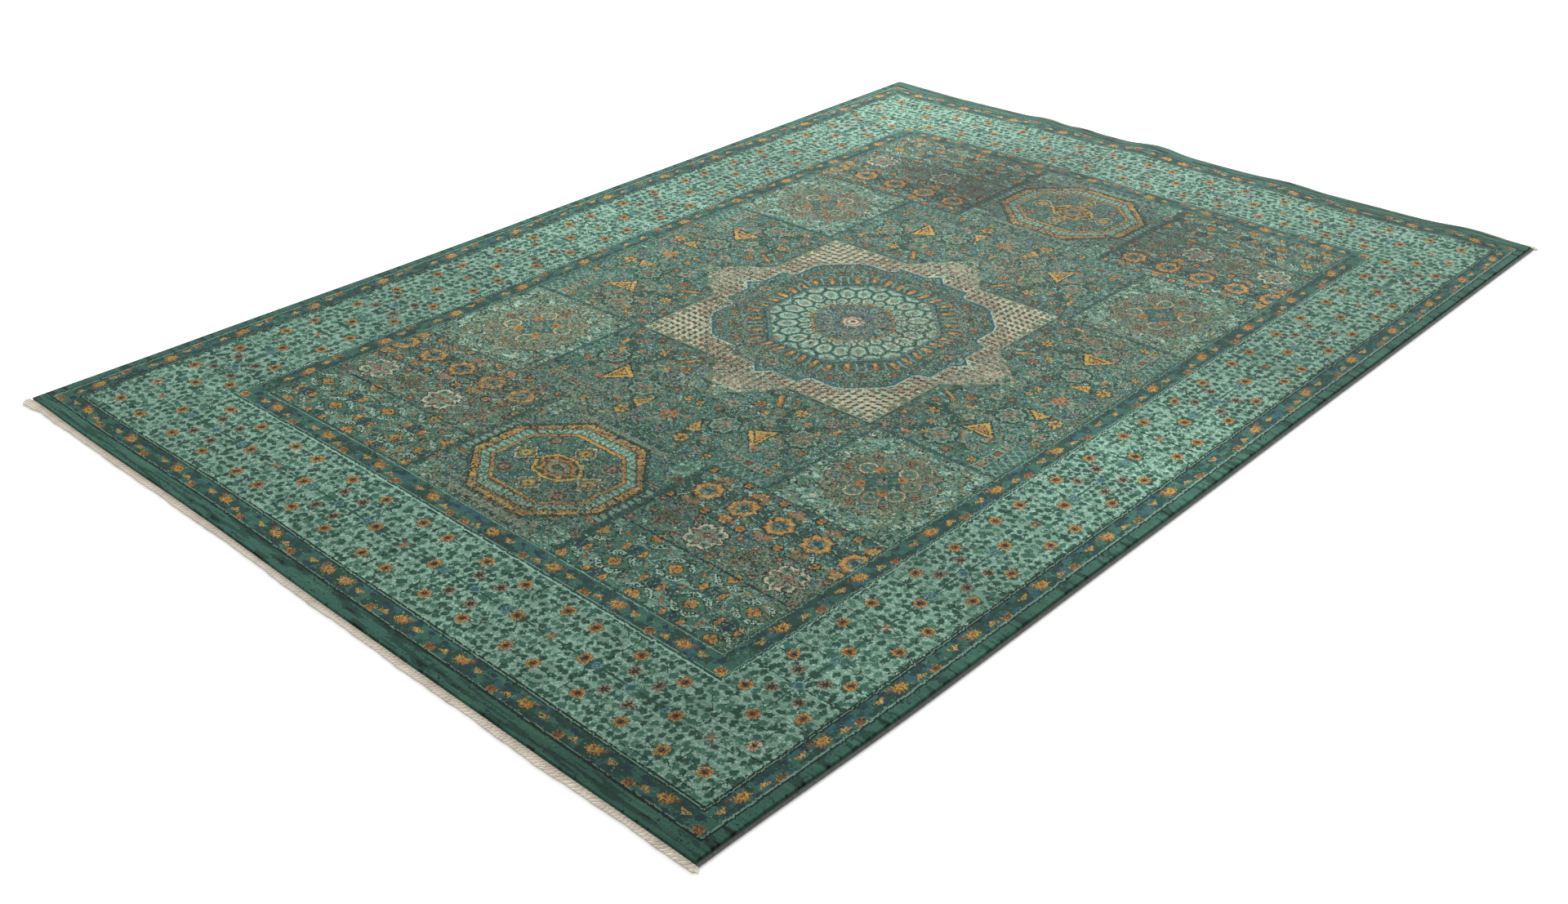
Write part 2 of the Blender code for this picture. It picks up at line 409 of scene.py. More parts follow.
def outer_zone(chart):
    """The busy ground outside the net: pale rosettes, gold triangles, framed boxes and a zigzag."""
    every = np.ones(chart.knots.shape, bool)
    x, y = chart.all()
    busy_ground(chart, every, 11)
    chart.fill(clouds(x, y, 15, 14) > 0.70, "d")
    sow(chart, every, 9.5, MOTIFS, 5, ". ml ml ys nt pv mp rw mp lb", 0.25)
    for ray in range(8):
        angle = math.pi * (ray + 0.5) / 4
        ux, uy = math.cos(angle), math.sin(angle)
        line(chart, [(290 + 8 * ux, 8 * uy), (290 + 24 * ux, 21 * uy)], 2.6, "pw"[ray % 2])
    rosette(chart, 290, 0, 10, *"owpr")
    for cx, cy, r in ((239, 140, 18), (269, 60, 17)):
        disc(chart, cx, cy, r + 2, "d")
        open_rosette(chart, cx, cy, r, "s", "l")
    for cx, cy, r, yarns in (
            (237, 91, 9, "vsv"), (195, 141, 9, "pws"), (232, 35, 9, "psw"), (280, 138, 8, "pds"),
            (213, 82, 8, "vtp"), (322, 75, 9, "stp"), (298, 97, 8, "slp"), (186, 107, 8, "ptw"),
            (318, 14, 9, "ynv")):
        hollow(chart, cx, cy, r, *yarns, "r", 6)
    for cx, cy, r, petals, eye in (
            (200, 103, 7, *"gk"), (315, 45, 8.5, *"gw"), (213, 56, 7, *"or"), (187, 84, 5, *"ow"),
            (255, 8, 5, *"gr"), (181, 160, 6, *"pr"), (262, 158, 5, *"op"), (294, 158, 5, *"gw"),
            (214, 124, 6, *"po"), (325, 92, 5, *"gr"), (250, 32, 5, *"rp"), (180, 128, 5, *"ro")):
        disc(chart, cx, cy, r + 1.2, "d")
        rosette(chart, cx, cy, r, petals, "w", "r" if petals == "o" else "o", eye, 6)
    gold_triangle(chart, 86, 112, 245, 285, 262)
    gold_triangle(chart, 50, 35, 277, 302, 295)
    for turn, cx, cy in (
            (0, 222, 146), (1, 303, 67), (2, 225, 72), (3, 255, 122), (0, 206, 158), (1, 283, 116)):
        stamp(chart, TULIP, cx, cy, turn, "gp" if cx > 230 else "")
    line(chart, [(185, 61), (204, 74)], 6.4, "w")
    line(chart, [(186, 62), (203, 73)], 4.4, "o")
    line(chart, [(188, 62), (196, 67)], 2, "g")
    zigzag_box(chart)


def net_ground(chart, cells, lobe):
    """Pale wool with a brown dash every nine knots. It is warmer in some patches and paler in others."""
    x, y = chart.all()
    u, v = (x - 2) % 9 - 4.5, (y - 2) % 9 - 4.5
    tone = clouds(x, y, 17, 15) + 0.4 * clouds(x, y, 3, 16)
    fine = clouds(x, y * 1.6, 2.4, 17)
    mesh = (np.abs(u) < 1.0) | (np.abs(v) < 0.9)
    spot = (np.abs(u) < 3.4) & (np.abs(v + 0.35 * u) < 2.2) & (fine > 0.10)
    chart.fill(cells, "i")
    chart.lay(cells, (fine > 0.66, "s"), ((tone < 0.74) & (fine < 0.46), "p"),
              ((tone > 0.95) & (fine < 0.3), "m"))
    chart.lay(lobe, (fine < 0.40, "s"), (fine > 0.68, "p"))
    chart.lay(cells, (mesh & (fine > 0.42), "v"), (spot, "w"), (spot & (fine > 0.72), "v"),
              (spot & (tone < 0.62) & (fine > 0.45), "r"), (lobe & spot & (fine > 0.4), "p"))


def medallion(chart):
    """The eight-sided body of the medallion, with its sown ground, its small flowers and its rim."""
    rim = [(163, 0), (156, 8), (150, 13), (150, 50), (137, 53), (133, 58), (133, 88), (128, 99),
           (113.5, 113.5)]
    body = Chart(S, S, "k")
    shape(body, [(0, 0)] + rim, "t")
    inside = body.knots == YARN["t"]
    inside |= inside.T
    chart.fill(inside, "t")
    busy_ground(chart, inside, 18)
    sow(chart, inside, 8, MOTIFS, 20, "ml ys pv mp rw go", 0.3)
    for cp, cq, r, petals, heart in (
            (136, 0, 8, *"pr"), (143, 33, 5, *"sv"), (127, 22, 4, *"vd"), (120, 71, 6, *"ro"),
            (98, 95, 7, *"vw"), (115, 77, 5, *"po"), (122, 93, 5, *"vr"), (141, 20, 4, *"yn"),
            (124, 57, 4, *"yw"), (112, 104, 5, *"pw"), (128, 82, 4, *"by"), (128, 44, 4, *"pw")):
        disc(chart, cp, cq, r + 1.2, "d")
        rosette(chart, cp, cq, r, petals, "d", heart, "w", 6)
    line(chart, rim, 3.8, "b")
    line(chart, rim, 1.0, "n")
    line(chart, [(cp + 2.4, cq + 0.9) for cp, cq in rim], 1.8, "m")


def slanting_bars(chart, flats, mottle):
    """A ring of gold bars, one every few degrees, with a blue hook between two bars."""
    chart.fill(np.abs(flats - 119.5) < 1.0, "w")
    band = (flats > 99) & (flats < 118)
    chart.fill(band, "l")
    chart.lay(band, (mottle < 0.4, "d"), (mottle > 0.8, "w"))
    for cp, cq, slant in ((108.5, 0, 0), (108.5, 18, 1), (108.5, 36, 1), (106, 54, 1), (91, 69, 2)):
        dp, dq = (4.2, 3.6) if slant == 2 else (5.2, 1.6 * slant)
        a, b = (cp - dp, cq - dq), (cp + dp, cq + dq)
        for start, end, width, yarn in (
                (a, b, 8.2, "w"), (a, b, 6.0, "o"), (a, (cp + 2, cq), 4.2, "g"),
                ((cp - 1, cq - 2), (cp + dp, cq - 2), 1.4, "p")):
            line(chart, [start, end], width, yarn)
        disc(chart, cp + 2, cq, 1.8, "r")
    for cp, cq, dp, dq in ((108, 9, 8, 3), (108, 27, 8, 3), (108, 45, 8, 3), (100, 61, 7, 5), (84, 77, 6, 6)):
        for width, yarn in ((3.2, "b"), (1.7, "s")):
            line(chart, [(cp - dp, cq - dq), (cp, cq + 1), (cp + dp, cq + dq)], width, yarn)
        disc(chart, cp + 3, cq + 3, 1.6, "y")
    chart.fill(np.abs(flats - 99.4) < 0.6, "n")
    chart.fill(np.abs(flats - 97.4) < 1.3, "b")
    chart.fill((np.abs(flats - 96.6) < 0.6) & (mottle > 0.5), "y")


def petals_and_core(chart, x, y, p, q, flats, mottle):
    """The honeycomb of petals inside the bars, and the core with its own corners."""
    near, second = honeycomb(p, q)
    veins = clouds(x, y, 3.0, 19)
    petals = flats < 95.6
    chart.fill(petals, "s")
    chart.lay(petals, ((near < 0.85) & (near > 0.45) & (mottle < 0.75), "m"),
              ((near < 0.85) & (near > 0.5) & (veins > 0.76), "i"), ((near < 0.5) & (veins > 0.62), "p"),
              ((near < 0.4) & (mottle > 0.6), "v"), (mottle > 0.9, "l"), (second - near < 0.40, "l"),
              (second - near < 0.26, "t"), (second - near < 0.18, "d"))
    chart.fill(np.abs(flats - 94.6) < 1.0, "l")
    core = np.maximum(p, p + q - 17)
    corner = (np.abs(core - 49) < 1.7) & (q > 8)
    chart.fill(core < 52, "l")
    chart.fill(core < 50.4, "v")
    chart.fill(corner, "o")
    chart.lay(corner, (mottle < 0.45, "g"), ((q > 22) & (q < 25), "w"))
    chart.fill(core < 47.6, "w")
    chart.fill(core < 46.6, "t")
    chart.lay(core < 46.2, (clouds(x, y, 4, 23) > 0.48, "b"), (clouds(x, y, 5, 29) > 0.66, "v"),
              (clouds(x, y, 3, 24) > 0.62, "n"), (mottle < 0.12, "y"), (mottle > 0.86, "p"))
    for cp, cq, r, outer, heart in ((38, 0, 4.6, *"sn"), (31, 13, 4.2, *"pd"), (21, 21, 4, *"sw")):
        nest(disc, chart, cp, cq, (r, outer), (r * 0.5, heart))
    hollow(chart, 0, 0, 18, *"wpiw")
    ring(chart, 0, 0, 10, 2.0, "i")


def corner_square():
    """Sea green square of leafy patches for each corner of the panel, with a large lobed rosette."""
    cell = Chart(S - CORNER_X, S - CORNER_Y, "s", CORNER_X, CORNER_Y)
    x, y = cell.all()
    for size, seed, least, yarn in (
            (9, 21, 0.60, "l"), (8, 22, 0.60, "m"), (7, 24, 0.60, "v"), (6, 25, 0.68, "d"),
            (5, 26, 0.82, "y"), (4, 30, 0.86, "i"), (3, 27, 0.74, "l"), (3, 28, 0.78, "s"),
            (2.4, 32, 0.82, "k")):
        cell.fill(clouds(x, y * 1.3, size, seed) > least, yarn)
    sow(cell, np.ones(x.shape, bool), 6, scraps("ll/ll/.l .l./lll dd/d mmm/.m"), 21, ". ls dl mi", 0.4)
    cx, cy = 255, 249
    part, dx, dy = cell.window(cx, cy, 64)
    d, a = np.hypot(dx, dy), np.arctan2(dy, dx)
    speck = np.random.default_rng(8).random(d.shape)
    edge = 57 + 3 * np.cos(16 * a)
    for reach, low, high, yarn in (
            (edge, 0, 1, "v"), (edge, 0, 0.22, "p"), (edge, 0.72, 1, "t"), (edge, 0.93, 1, "m"),
            (edge - 6, 0.25, 0.5, "w"), (46, 0, 0.45, "t"), (46, 0.45, 0.6, "p"), (46, 0.9, 1, "s"),
            (25, 0, 1, "d"), (24, 0.4, 1, "t")):
        part[(d < reach) & (speck >= low) & (speck < high)] = YARN[yarn]
    part[(np.abs(d - edge) < 1.1) & (speck < 0.75)] = YARN["w"]

    def spot(angle, reach):
        return cx + reach * math.cos(angle), cy + reach * math.sin(angle)

    for petal in range(8):
        angle, odd = math.pi * (petal + 0.5) / 4, petal % 2
        hollow(cell, *spot(angle, 47), 5.4, "vy"[odd], "t", "w", "p", 6)
        between_petals = spot(angle - math.pi / 8, 44)
        disc(cell, *between_petals, 5, "w")
        rosette(cell, *between_petals, 4, "op"[odd], "w", "r", "k", 6)
        nest(disc, cell, *spot(angle, 30), (11.4, "w"), (10.4, "p"), (9.8, "ip"[odd]), (8.6, "v"), (6.6, "l"),
             (4.6, "t"), (2.4, "p"))
    disc(cell, cx, cy, 20, "t")
    sow(cell, np.hypot(x - cx, y - cy) < 20, 4.4, scraps("dd/d ww nn/n v"), 31, ".", 0.4)
    for sx, sy in FOUR_WAYS:
        nest(diamond, cell, cx + 14 * sx, cy + 15.5 * sy, (8, 8, "w"), (6.6, 6.6, "o"))
        diamond(cell, cx + 13 * sx, cy + 14.5 * sy, 3, 3, "r")
    for ox, oy in ((15, 0), (-15, 0), (0, 15), (0, -15)):
        nest(diamond, cell, cx + ox, cy + oy, (7, 7, "d"), (5, 5, "b"), (2, 2, "s"))
    rosette(cell, cx, cy, 6, *"pwsk")
    for offset, half_width, yarn in ((1.5, 1.6, "d"), (4, 1.1, "b")):
        left, top = CORNER_X + offset, CORNER_Y + offset
        cell.fill((np.abs(x - left) < half_width) | (np.abs(y - top) < half_width), yarn)
    return cell.knots


def centre_square():
    chart = Chart(S, S, "t")
    x, y = chart.all()
    p, q = np.maximum(x, y), np.minimum(x, y)
    mottle = np.random.default_rng(3).random(x.shape)
    outer_zone(chart)
    # --- net and its lobes
    lobe = [(168, 0), (168, 52), (174, 51), (180, 44), (186, 41), (195, 39), (198, 28), (206, 25), (211, 20),
            (213, 12), (222, 9), (231, 0)]
    net = Chart(S, S, "k")
    shape(net, lobe, "i")
    line(net, lobe[1:], 1.6, "m")
    inside = net.knots == YARN["i"]
    net_ground(chart, (p < 167.6) | inside, inside)
    chart.fill(net.knots == YARN["m"], "v")
    # --- the net's rim fades into the ground
    fade = clouds(x, y, 7, 12) + 0.5 * clouds(x, y, 2.6, 13)
    chart.lay(q > 52, (np.abs(p - 168.2) < 1.0, "s"), (np.abs(p - 170.4) < 1.2, "w"),
              ((p > 159) & (p < 172) & (fade > 0.98), "v"), ((p > 163) & (p < 176) & (fade > 1.08), "t"))
    chart.fill(inside & (fade > 1.02), "l")
    # --- the medallion, from its rim to its core
    flats = np.maximum(p, (p + q) / 1.42)
    medallion(chart)
    slanting_bars(chart, flats, mottle)
    petals_and_core(chart, x, y, p, q, flats, mottle)
    # --- the eighth is turned over to make a quarter, and the corner square goes on last
    chart.knots = np.where(x >= y, chart.knots, chart.knots.T)
    chart.paste(CORNER_X, CORNER_Y, corner_square())
    return chart.knots


square = centre_square()
print("the centre square is", S, "knots from its middle to its side,", len(np.unique(square)), "yarns")

# %% [markdown]
# ## The end panels
#
# Each end of the field is a panel of three rows beside a gold-framed octagon: gold stars, white
# rosettes, and orange flowers between pale scrolls. The weaver works both halves from one
# chart, read forwards and then backwards, so half a panel is drawn and turned over later.

# %% The end panels
PANEL_TOP, PANEL_END = 326, 531
FIELD_X = 338
STARS_Y, ROSETTES_Y, OCTAGON_Y = 363, 420, 431          # middles of two rows and of the octagon
SCROLLS_TOP = 448


def star_ring(chart, x, y, r):
    """A gold ring with eight blunt points, a brown outline, a teal middle and a navy heart."""
    part, dx, dy = chart.window(x, y, r + 3)
    point = np.minimum((np.abs(dx) + np.abs(dy)), np.maximum(np.abs(dx), np.abs(dy)) * 1.42)
    d = np.hypot(dx, dy)
    point = 0.72 * point + 0.28 * d * 1.14
    speck = clouds(dx + x * 3, dy + y, 2.2, 51)
    for reach, yarn in (
            (r + 2.6, "k"), (r + 1.2, "w"), (r, "o"), (r - 2.0, "g"), (r - 5.6, "o"), (r * 0.52, "w"),
            (r * 0.46, "t")):
        part[point < reach] = YARN[yarn]
    band = (point < r) & (point > r * 0.52)
    part[band & (speck > 0.76)] = YARN["p"]
    part[band & (speck < 0.16)] = YARN["w"]
    part[(point < r * 0.46) & (speck > 0.62)] = YARN["s"]
    part[(d < r * 0.30) & (speck < 0.7)] = YARN["b"]
    part[d < r * 0.18] = YARN["n"]


SCROLL = small("""
    ..........dkkkkd..
    ........dkmmmmmmk.
    .......kmmsmmmsmmk
    ......kmmskkkksmmk
    .....kmmmk.mmkkmmk
    ....kmmmmmkkmmmmk.
    ...kmmskkmmkkkkk..
    ..kmmsk..kmmk.....
    .kmmmk.mmkkk......
    kmmmkksmmk........
    kmskk.kkk.........
    kkk...............
""")
NAVY_CROSS = turned_over("""
    .bnn.
    .nnn.
    ..nnn
    ynnnn
    bb.nn
    yynnn
""")
UPRIGHT = small("""
    ...kk...
    ..kook..
    .kooook.
    .koggok.
    koggggok
    kogooggk
    kooroogk
    koorrook
    kooroogk
    koggooor
    koggggok
    .koggook
    .kooook.
    ..kork..
    ...kk...
""")
PINK_DASH = small("""
    kpp......
    .prppk...
    ..ppvppk.
    .kppvvpp.
    ...kppprp
    .....kppk
""")
BRIGHT = small("""
    .......kkk.......
    .....kkoookk.....
    ....koogggook....
    ..kkkogoooogkkk..
    ..koookogokoook..
    .koggookoooggook.
    kogoogoooogoooggk
    kogoogoorogoogook
    koggoooorooogoogk
    kogoogoooogoogogk
    .koggookokoggook.
    ..koookogokoook..
    ..kkkgoooogokkk..
    ....koogggook....
    .....kkoookk.....
    .......kkk.......
""")
POSY = small("""
    ..koo.ook..
    .koggoggok.
    .oggoooggo.
    .oooorooo..
    .koorkrook.
    .oooorooo..
    .oggoooggo.
    .koggoggok.
    ..koo.ook..
""")
HOOK_LINE = small("""
    mm........mm
    .mm.mm...mm.
    ..mmmkm.mm..
    k..mm.kmm..k
    .k....mm..k.
    ..kk.mmm.k..
    ....kmm.k...
    ......k.....
""")


def star_row(chart):
    """Gold stars, with posies, hooks and small flowers between them."""
    for step in range(6):
        cx = 116 + 47.7 * step
        outline = ((-8, -8), (0, -14), (8, -8), (5, 0), (8, 8), (0, 14), (-8, 8), (-5, 0))
        shape(chart, [(cx + ox, STARS_Y + oy) for ox, oy in outline], "d")
        for ox, oy, yarn in (
                (0, -9, "b"), (-3, -3, "s"), (3, 2, "b"), (-2, 7, "y"), (2, 10, "d"), (0, 0, "k")):
            line(chart, [(cx + ox - 3, STARS_Y + oy), (cx + ox + 3, STARS_Y + oy + 2)], 1.8, yarn)
        for cy, turn in ((342, 0), (383, 2)):
            for side in (-1, 1):
                stamp(chart, HOOK_LINE, cx + 12 * side, cy, turn)
        for cy in (332, 391):
            disc(chart, cx, cy, 6.6, "k")
            stamp(chart, POSY, cx, cy)
    for step in range(5):
        cx = 140 + 47.7 * step
        star_ring(chart, cx, STARS_Y, 17.2)
        for cy, inwards in ((338, 3), (388, -3)):
            disc(chart, cx, cy, 7.8, "w")
            rosette(chart, cx, cy, 6.8, "vgp"[step % 3], "w", "p", "o", 6)
            for side in (-1, 1):
                nest(disc, chart, cx + 7 * side, cy + inwards, (3.4, "o"), (1.5, "p"))


def rosette_row(chart, x, y):
    """White rosettes and pairs of small ones over slanting stripes."""
    row = (y > 396) & (y < SCROLLS_TOP)
    slant = (x * 0.8 - y) % 26
    chart.lay(row, ((slant < 2.4) & ((x + y) % 4 > 1.4), "v"),
              ((np.abs(slant - 13) < 1.1) & ((x - y) % 5 > 1.4), "p"))
    for cx in (196, 301):
        disc(chart, cx, ROSETTES_Y, 20, "t")
        open_rosette(chart, cx, ROSETTES_Y, 22)
    for cx in (143, 248):
        for oy, r, yarns in ((-12, 7.5, "pdwr"), (0, 9.5, "vwwl"), (12, 7.5, "pdwr")):
            hollow(chart, cx, ROSETTES_Y + oy, r, *yarns)
        for ox in (-15, 15):
            rosette(chart, cx + ox, ROSETTES_Y, 4.6, *"wdop", 5)
    for cx, *heights in ((332, 401, 442), (118, 401, 442), (223, 402, 440), (274, 402, 440), (170, 403, 438)):
        for cy in heights:
            rosette(chart, cx, cy, 5.6, *"rkpo", 6)


def scroll_rows(chart, x, y):
    """Orange flowers between pale scrolls, and navy crosses between gold leaves."""
    low = y > SCROLLS_TOP
    chart.fill(low, "t")
    busy_ground(chart, low, 33)
    chart.lay(low, ((clouds(x, y, 13, 34) > 0.60) & (clouds(x, y * 2, 4, 35) > 0.3), "l"),
              ((clouds(x, y, 9, 36) > 0.66) & (clouds(x, y * 2, 3, 37) > 0.45), "s"))
    for cx, cy in (
            (116, 474), (165, 501), (215, 474), (265, 501), (314, 474), (166, 450), (266, 450), (215, 524),
            (314, 524), (116, 524)):
        nest(diamond, chart, cx, cy, (21, 15, "d"), (18, 12.5, "l"))
        for sx, sy in ((-1, -1), (-1, 1), (1, 1), (1, -1)):
            if cy + 11 * sy > SCROLLS_TOP + 4:
                arm = [row[::-sx] for row in SCROLL[::-sy]]
                stamp(chart, arm, cx + 10.5 * sx, cy + 10.5 * sy)
        stamp(chart, BRIGHT, cx, cy)
    for cx, cy in ((165, 477), (215, 501), (266, 476), (314, 501), (116, 501), (165, 525), (266, 525)):
        disc(chart, cx, cy, 8, "d")
        stamp(chart, NAVY_CROSS, cx, cy)
        stamp(chart, UPRIGHT, cx - 11.5, cy, 2)
        stamp(chart, UPRIGHT, cx + 11.5, cy)
    for cx, cy, turn in (
            (140, 463, 0), (190, 487, 0), (240, 463, 0), (290, 487, 0), (140, 514, 0), (240, 514, 0),
            (190, 460, 1), (240, 488, 1), (292, 459, 1), (142, 487, 1), (193, 514, 1), (292, 515, 1)):
        stamp(chart, PINK_DASH, cx, cy, turn, "" if cx % 4 else "povo")


def end_zone():
    """Half of an end panel: its three rows, the lines between them, and the octagon."""
    chart = Chart(FIELD_X, PANEL_END - PANEL_TOP, "t", 0, PANEL_TOP)
    x, y = chart.all()
    busy_ground(chart, np.ones(x.shape, bool), 31)
    sow(chart, y < SCROLLS_TOP, 9, MOTIFS, 32, ". mi ml ys nb pv rw mp lb", 0.25)
    star_row(chart)
    rosette_row(chart, x, y)
    scroll_rows(chart, x, y)
    for cy, width, yarn in (
            (327, 2.4, "d"), (329.5, 1.4, "b"), (395.5, 1.6, "k"), (397.3, 1.2, "b"), (SCROLLS_TOP, 1.6, "k"),
            (449.6, 1.2, "b"), (529, 2.4, "d")):
        chart.fill(np.abs(y - cy) < width / 2, yarn)
    octagon_panel(chart)
    return chart.knots


def octagon(chart, steps):
    """Long eight-sided outlines, one inside another.

    Each step gives the half width at the top, the top, the half width at the side, where the
    side starts and ends, the bottom, and the yarn.
    """
    for half_top, top, half_side, side_top, side_bottom, bottom, yarn in steps:
        right = [(half_top, top), (half_side, side_top), (half_side, side_bottom), (half_top, bottom)]
        shape(chart, right + [(-px, py) for px, py in reversed(right)], yarn)


def octagon_surroundings(chart, x, y, mottle):
    """What lies round the octagon: leafy corners, bars, ticks and small flowers."""
    panel = x < 112
    chart.fill(panel, "t")
    busy_ground(chart, panel, 42)
    sow(chart, panel & (x > 50), 8, MOTIFS, 43, "mi ys pv rw lb mp", 0.25)
    # --- seafoam corners of leaves
    corners = (np.abs(x - 97) < 15) & ((np.abs(y - 349) < 17) | (np.abs(y - 513) < 17))
    chart.fill(corners, "s")
    chart.lay(corners, (clouds(x, y * 2, 4, 48) > 0.72, "m"), (clouds(x, y * 2, 4, 49) > 0.52, "l"))
    sow(chart, corners, 6, scraps("ll/lll/.l .l./lll/.l. mmm/mmm"), 44, ".", 0.3)
    # --- bars and the pale strip along the panel's long edges
    for cy, strip_y in ((339, 346), (525, 518)):
        bar, strip = (np.abs(y - cy) < 3, np.abs(y - strip_y) < 4)
        chart.lay(x < 60, (bar, "d"), (strip, "l"), (strip & (mottle < 0.3), "p"),
                  (strip & (mottle > 0.75), "s"), (bar & (x % 12 < 2), "y"))
    # --- ticks beside the octagon
    ticks = (x > 95) & (x < 104) & (y > 395) & (y < 468)
    chart.fill(ticks, "d")
    chart.fill(ticks & (y % 8 < 5), "s")
    chart.fill((x > 105) & (x < 111), "d")
    chart.fill((x > 105.5) & (x < 110.5) & ((y + 4) % 12 < 3), "b")
    for cx, cy in ((88, 367), (100, 492), (72, 352), (64, 512), (84, 480)):
        shape(chart, [(cx - 8, cy), (cx, cy - 4), (cx + 8, cy), (cx, cy + 4)], "n")
        diamond(chart, cx, cy, 3, 2, "y")
    for cx, cy, yarn in ((95, 392, "p"), (93, 471, "o")):
        line(chart, [(cx - 8, cy), (cx + 8, cy)], 4, "w")
        line(chart, [(cx - 7, cy), (cx + 7, cy)], 1.8, yarn)
    rosette(chart, 104, 496, 6, *"pdrw", 6)
    rosette(chart, 104, 368, 6, *"rdwk", 6)


def octagon_panel(chart):
    """The gold-framed octagon at the end of the field, with its panel."""
    x, y = chart.all()
    mottle = np.random.default_rng(41).random(x.shape)
    octagon_surroundings(chart, x, y, mottle)
    # --- the gold frame
    octagon(chart, ((43, 348, 97, 402, 461, 514, "d"), (41, 351, 94, 404, 459, 511, "k"),
                    (40, 352.5, 92.5, 405, 458, 509.5, "g")))
    panel, off = x < 112, np.abs(y - OCTAGON_Y)
    window = (37.5, 361, 83, 402.5, 460.5, 501)
    inner = Chart(FIELD_X, PANEL_END - PANEL_TOP, "k", 0, PANEL_TOP)
    octagon(inner, [(*window, "g")])
    band = (chart.knots == YARN["g"]) & panel & (off < 80) & (inner.knots == YARN["k"])
    grain = clouds(x, y, 2.3, 45)
    tawny = clouds(x, y, 24, 46) > 0.4
    around = np.degrees(np.arctan2(y - OCTAGON_Y, x))
    chart.lay(band, (tawny, "o"), (tawny & (grain > 0.62), "g"), (clouds(x, y, 3.1, 44) > 0.72, "p"),
              (grain < 0.33, "w"), (grain > 0.78, "v"), ((around + 180) % 22.5 < 1.2, "k"))
    # --- the mint ring with its spokes
    octagon(chart, ((*window, "w"), (37, 363, 81, 403.5, 459.5, 499, "m")))
    mint = (chart.knots == YARN["m"]) & panel & (off < 69)
    spoke = np.where(np.abs(x) > off * 1.15, y, x) % 7
    chart.lay(mint, (mottle < 0.75, "s"), (spoke < 1.8, "l"), ((spoke > 5.6) & (mottle < 0.5), "l"))
    # --- inside it
    octagon(chart, ((35.5, 373, 71, 405, 457.5, 489, "w"), (34.8, 374.5, 69.8, 405.5, 457, 487.5, "o"),
                    (34, 376.5, 68, 406.5, 456, 485.5, "g"), (33.8, 377.6, 67, 406.8, 455.7, 484.4, "w"),
                    (33.5, 378.8, 66, 407, 455.5, 483.2, "t")))
    busy_ground(chart, (inner.knots == YARN["g"]) & (chart.knots == YARN["t"]) & (off < 50), 47)
    for cx, cy in ((0, 396), (47, 432), (0, 467)):
        diamond(chart, cx, cy, 17, 16, "d")
        hollow(chart, cx, cy, 14, *"ivgw", 4)
        ring(chart, cx, cy, 8.5, 1.5, "w")
    for cx, cy in ((42, 398), (41, 464)):
        rosette(chart, cx, cy, 10.5, *"wdpr", rim="p")
    part, dx, dy = chart.window(0, OCTAGON_Y, 36)
    d = np.hypot(dx / 1.38, dy)
    d = np.minimum(d, np.maximum(np.abs(dx) / 1.5 + np.abs(dy) * 0.6, np.abs(dy) * 1.9))
    wave = d / (1 + 0.04 * np.cos(8 * np.arctan2(dy, dx)))
    for reach, yarn in (
            (22.6, "k"), (21.4, "g"), (18.6, "w"), (17.4, "d"), (15.4, "w"), (14.4, "o"), (11.4, "k"),
            (10.2, "v"), (7.6, "p"), (5.4, "w"), (3.4, "l"), (1.8, "n")):
        part[wave < reach] = YARN[yarn]
    for turn in range(8):
        angle = turn * math.pi / 4
        disc(chart, 16.5 * 1.32 * math.cos(angle), OCTAGON_Y + 16.5 * math.sin(angle), 2.2, "og"[turn % 2])
    chart.fill(np.abs(x - 112.5) < 1.4, "d")


print("each end panel is", PANEL_END - PANEL_TOP, "knots deep")

# %% [markdown]
# ## The borders
#
# The wide border is a bed of leaves. Heart-shaped leaves are set in staggered rows on the pale
# ground, thin stems run between them, and small flowers repeat over and over. Two narrow
# guards close it in on both sides. In them a rust flower, a bell, a gold flower and a bell
# turned the other way follow one another.

# %% The leafy border
REPEAT = 208                # knots from one blue diamond to the next
BED_LENGTH, HALF_BED = 720, 58          # length of one drawing of the border, and half its width
LEAVES = (
    small("..ldl.ldl. .tddlldddt lddddlddddl tddddddddt .lddlddddl. ..tddddl... ...lddt.... ....l......"),
    small("..lddddl.. .tdddddddl lddlddddt. tddddlddl. .lddddddl. ..tddldt.. ...ltl...."),
    small("...ldl.... .lddddt... tdddddddl. lddlddlddl .tdddlddl. ..lddddt.. ...ldl...."),
    small("..lddl... .tdddddl. lddldddt. tdddddldl .ldddddl. ..tddt... ...lt...."),
    small("..lddl... .tddddl.. lddldddl. .tddddt.. ..lddl... ...tl...."),
    small(".ldd.ddl. tdddddddt lddlddldl .tdddddt. ..lddl... ...lt...."),
)
ORANGE_FLOWER = small("""
    ....wpo.opw...
    ..pgkvookpgw..
    .wpogoogoogpw.
    .govorrwrovpg.
    wogwrrkkrrwgpw
    poowrwkkrwrogw
    wogwrkkkkrwgow
    .oowrwkkrrwow.
    .pwvrrkwrroog.
    wogwoorroowogp
    .wpoogwogoopw.
    ..wvgwogvgw...
    ....wop.pow...
""")


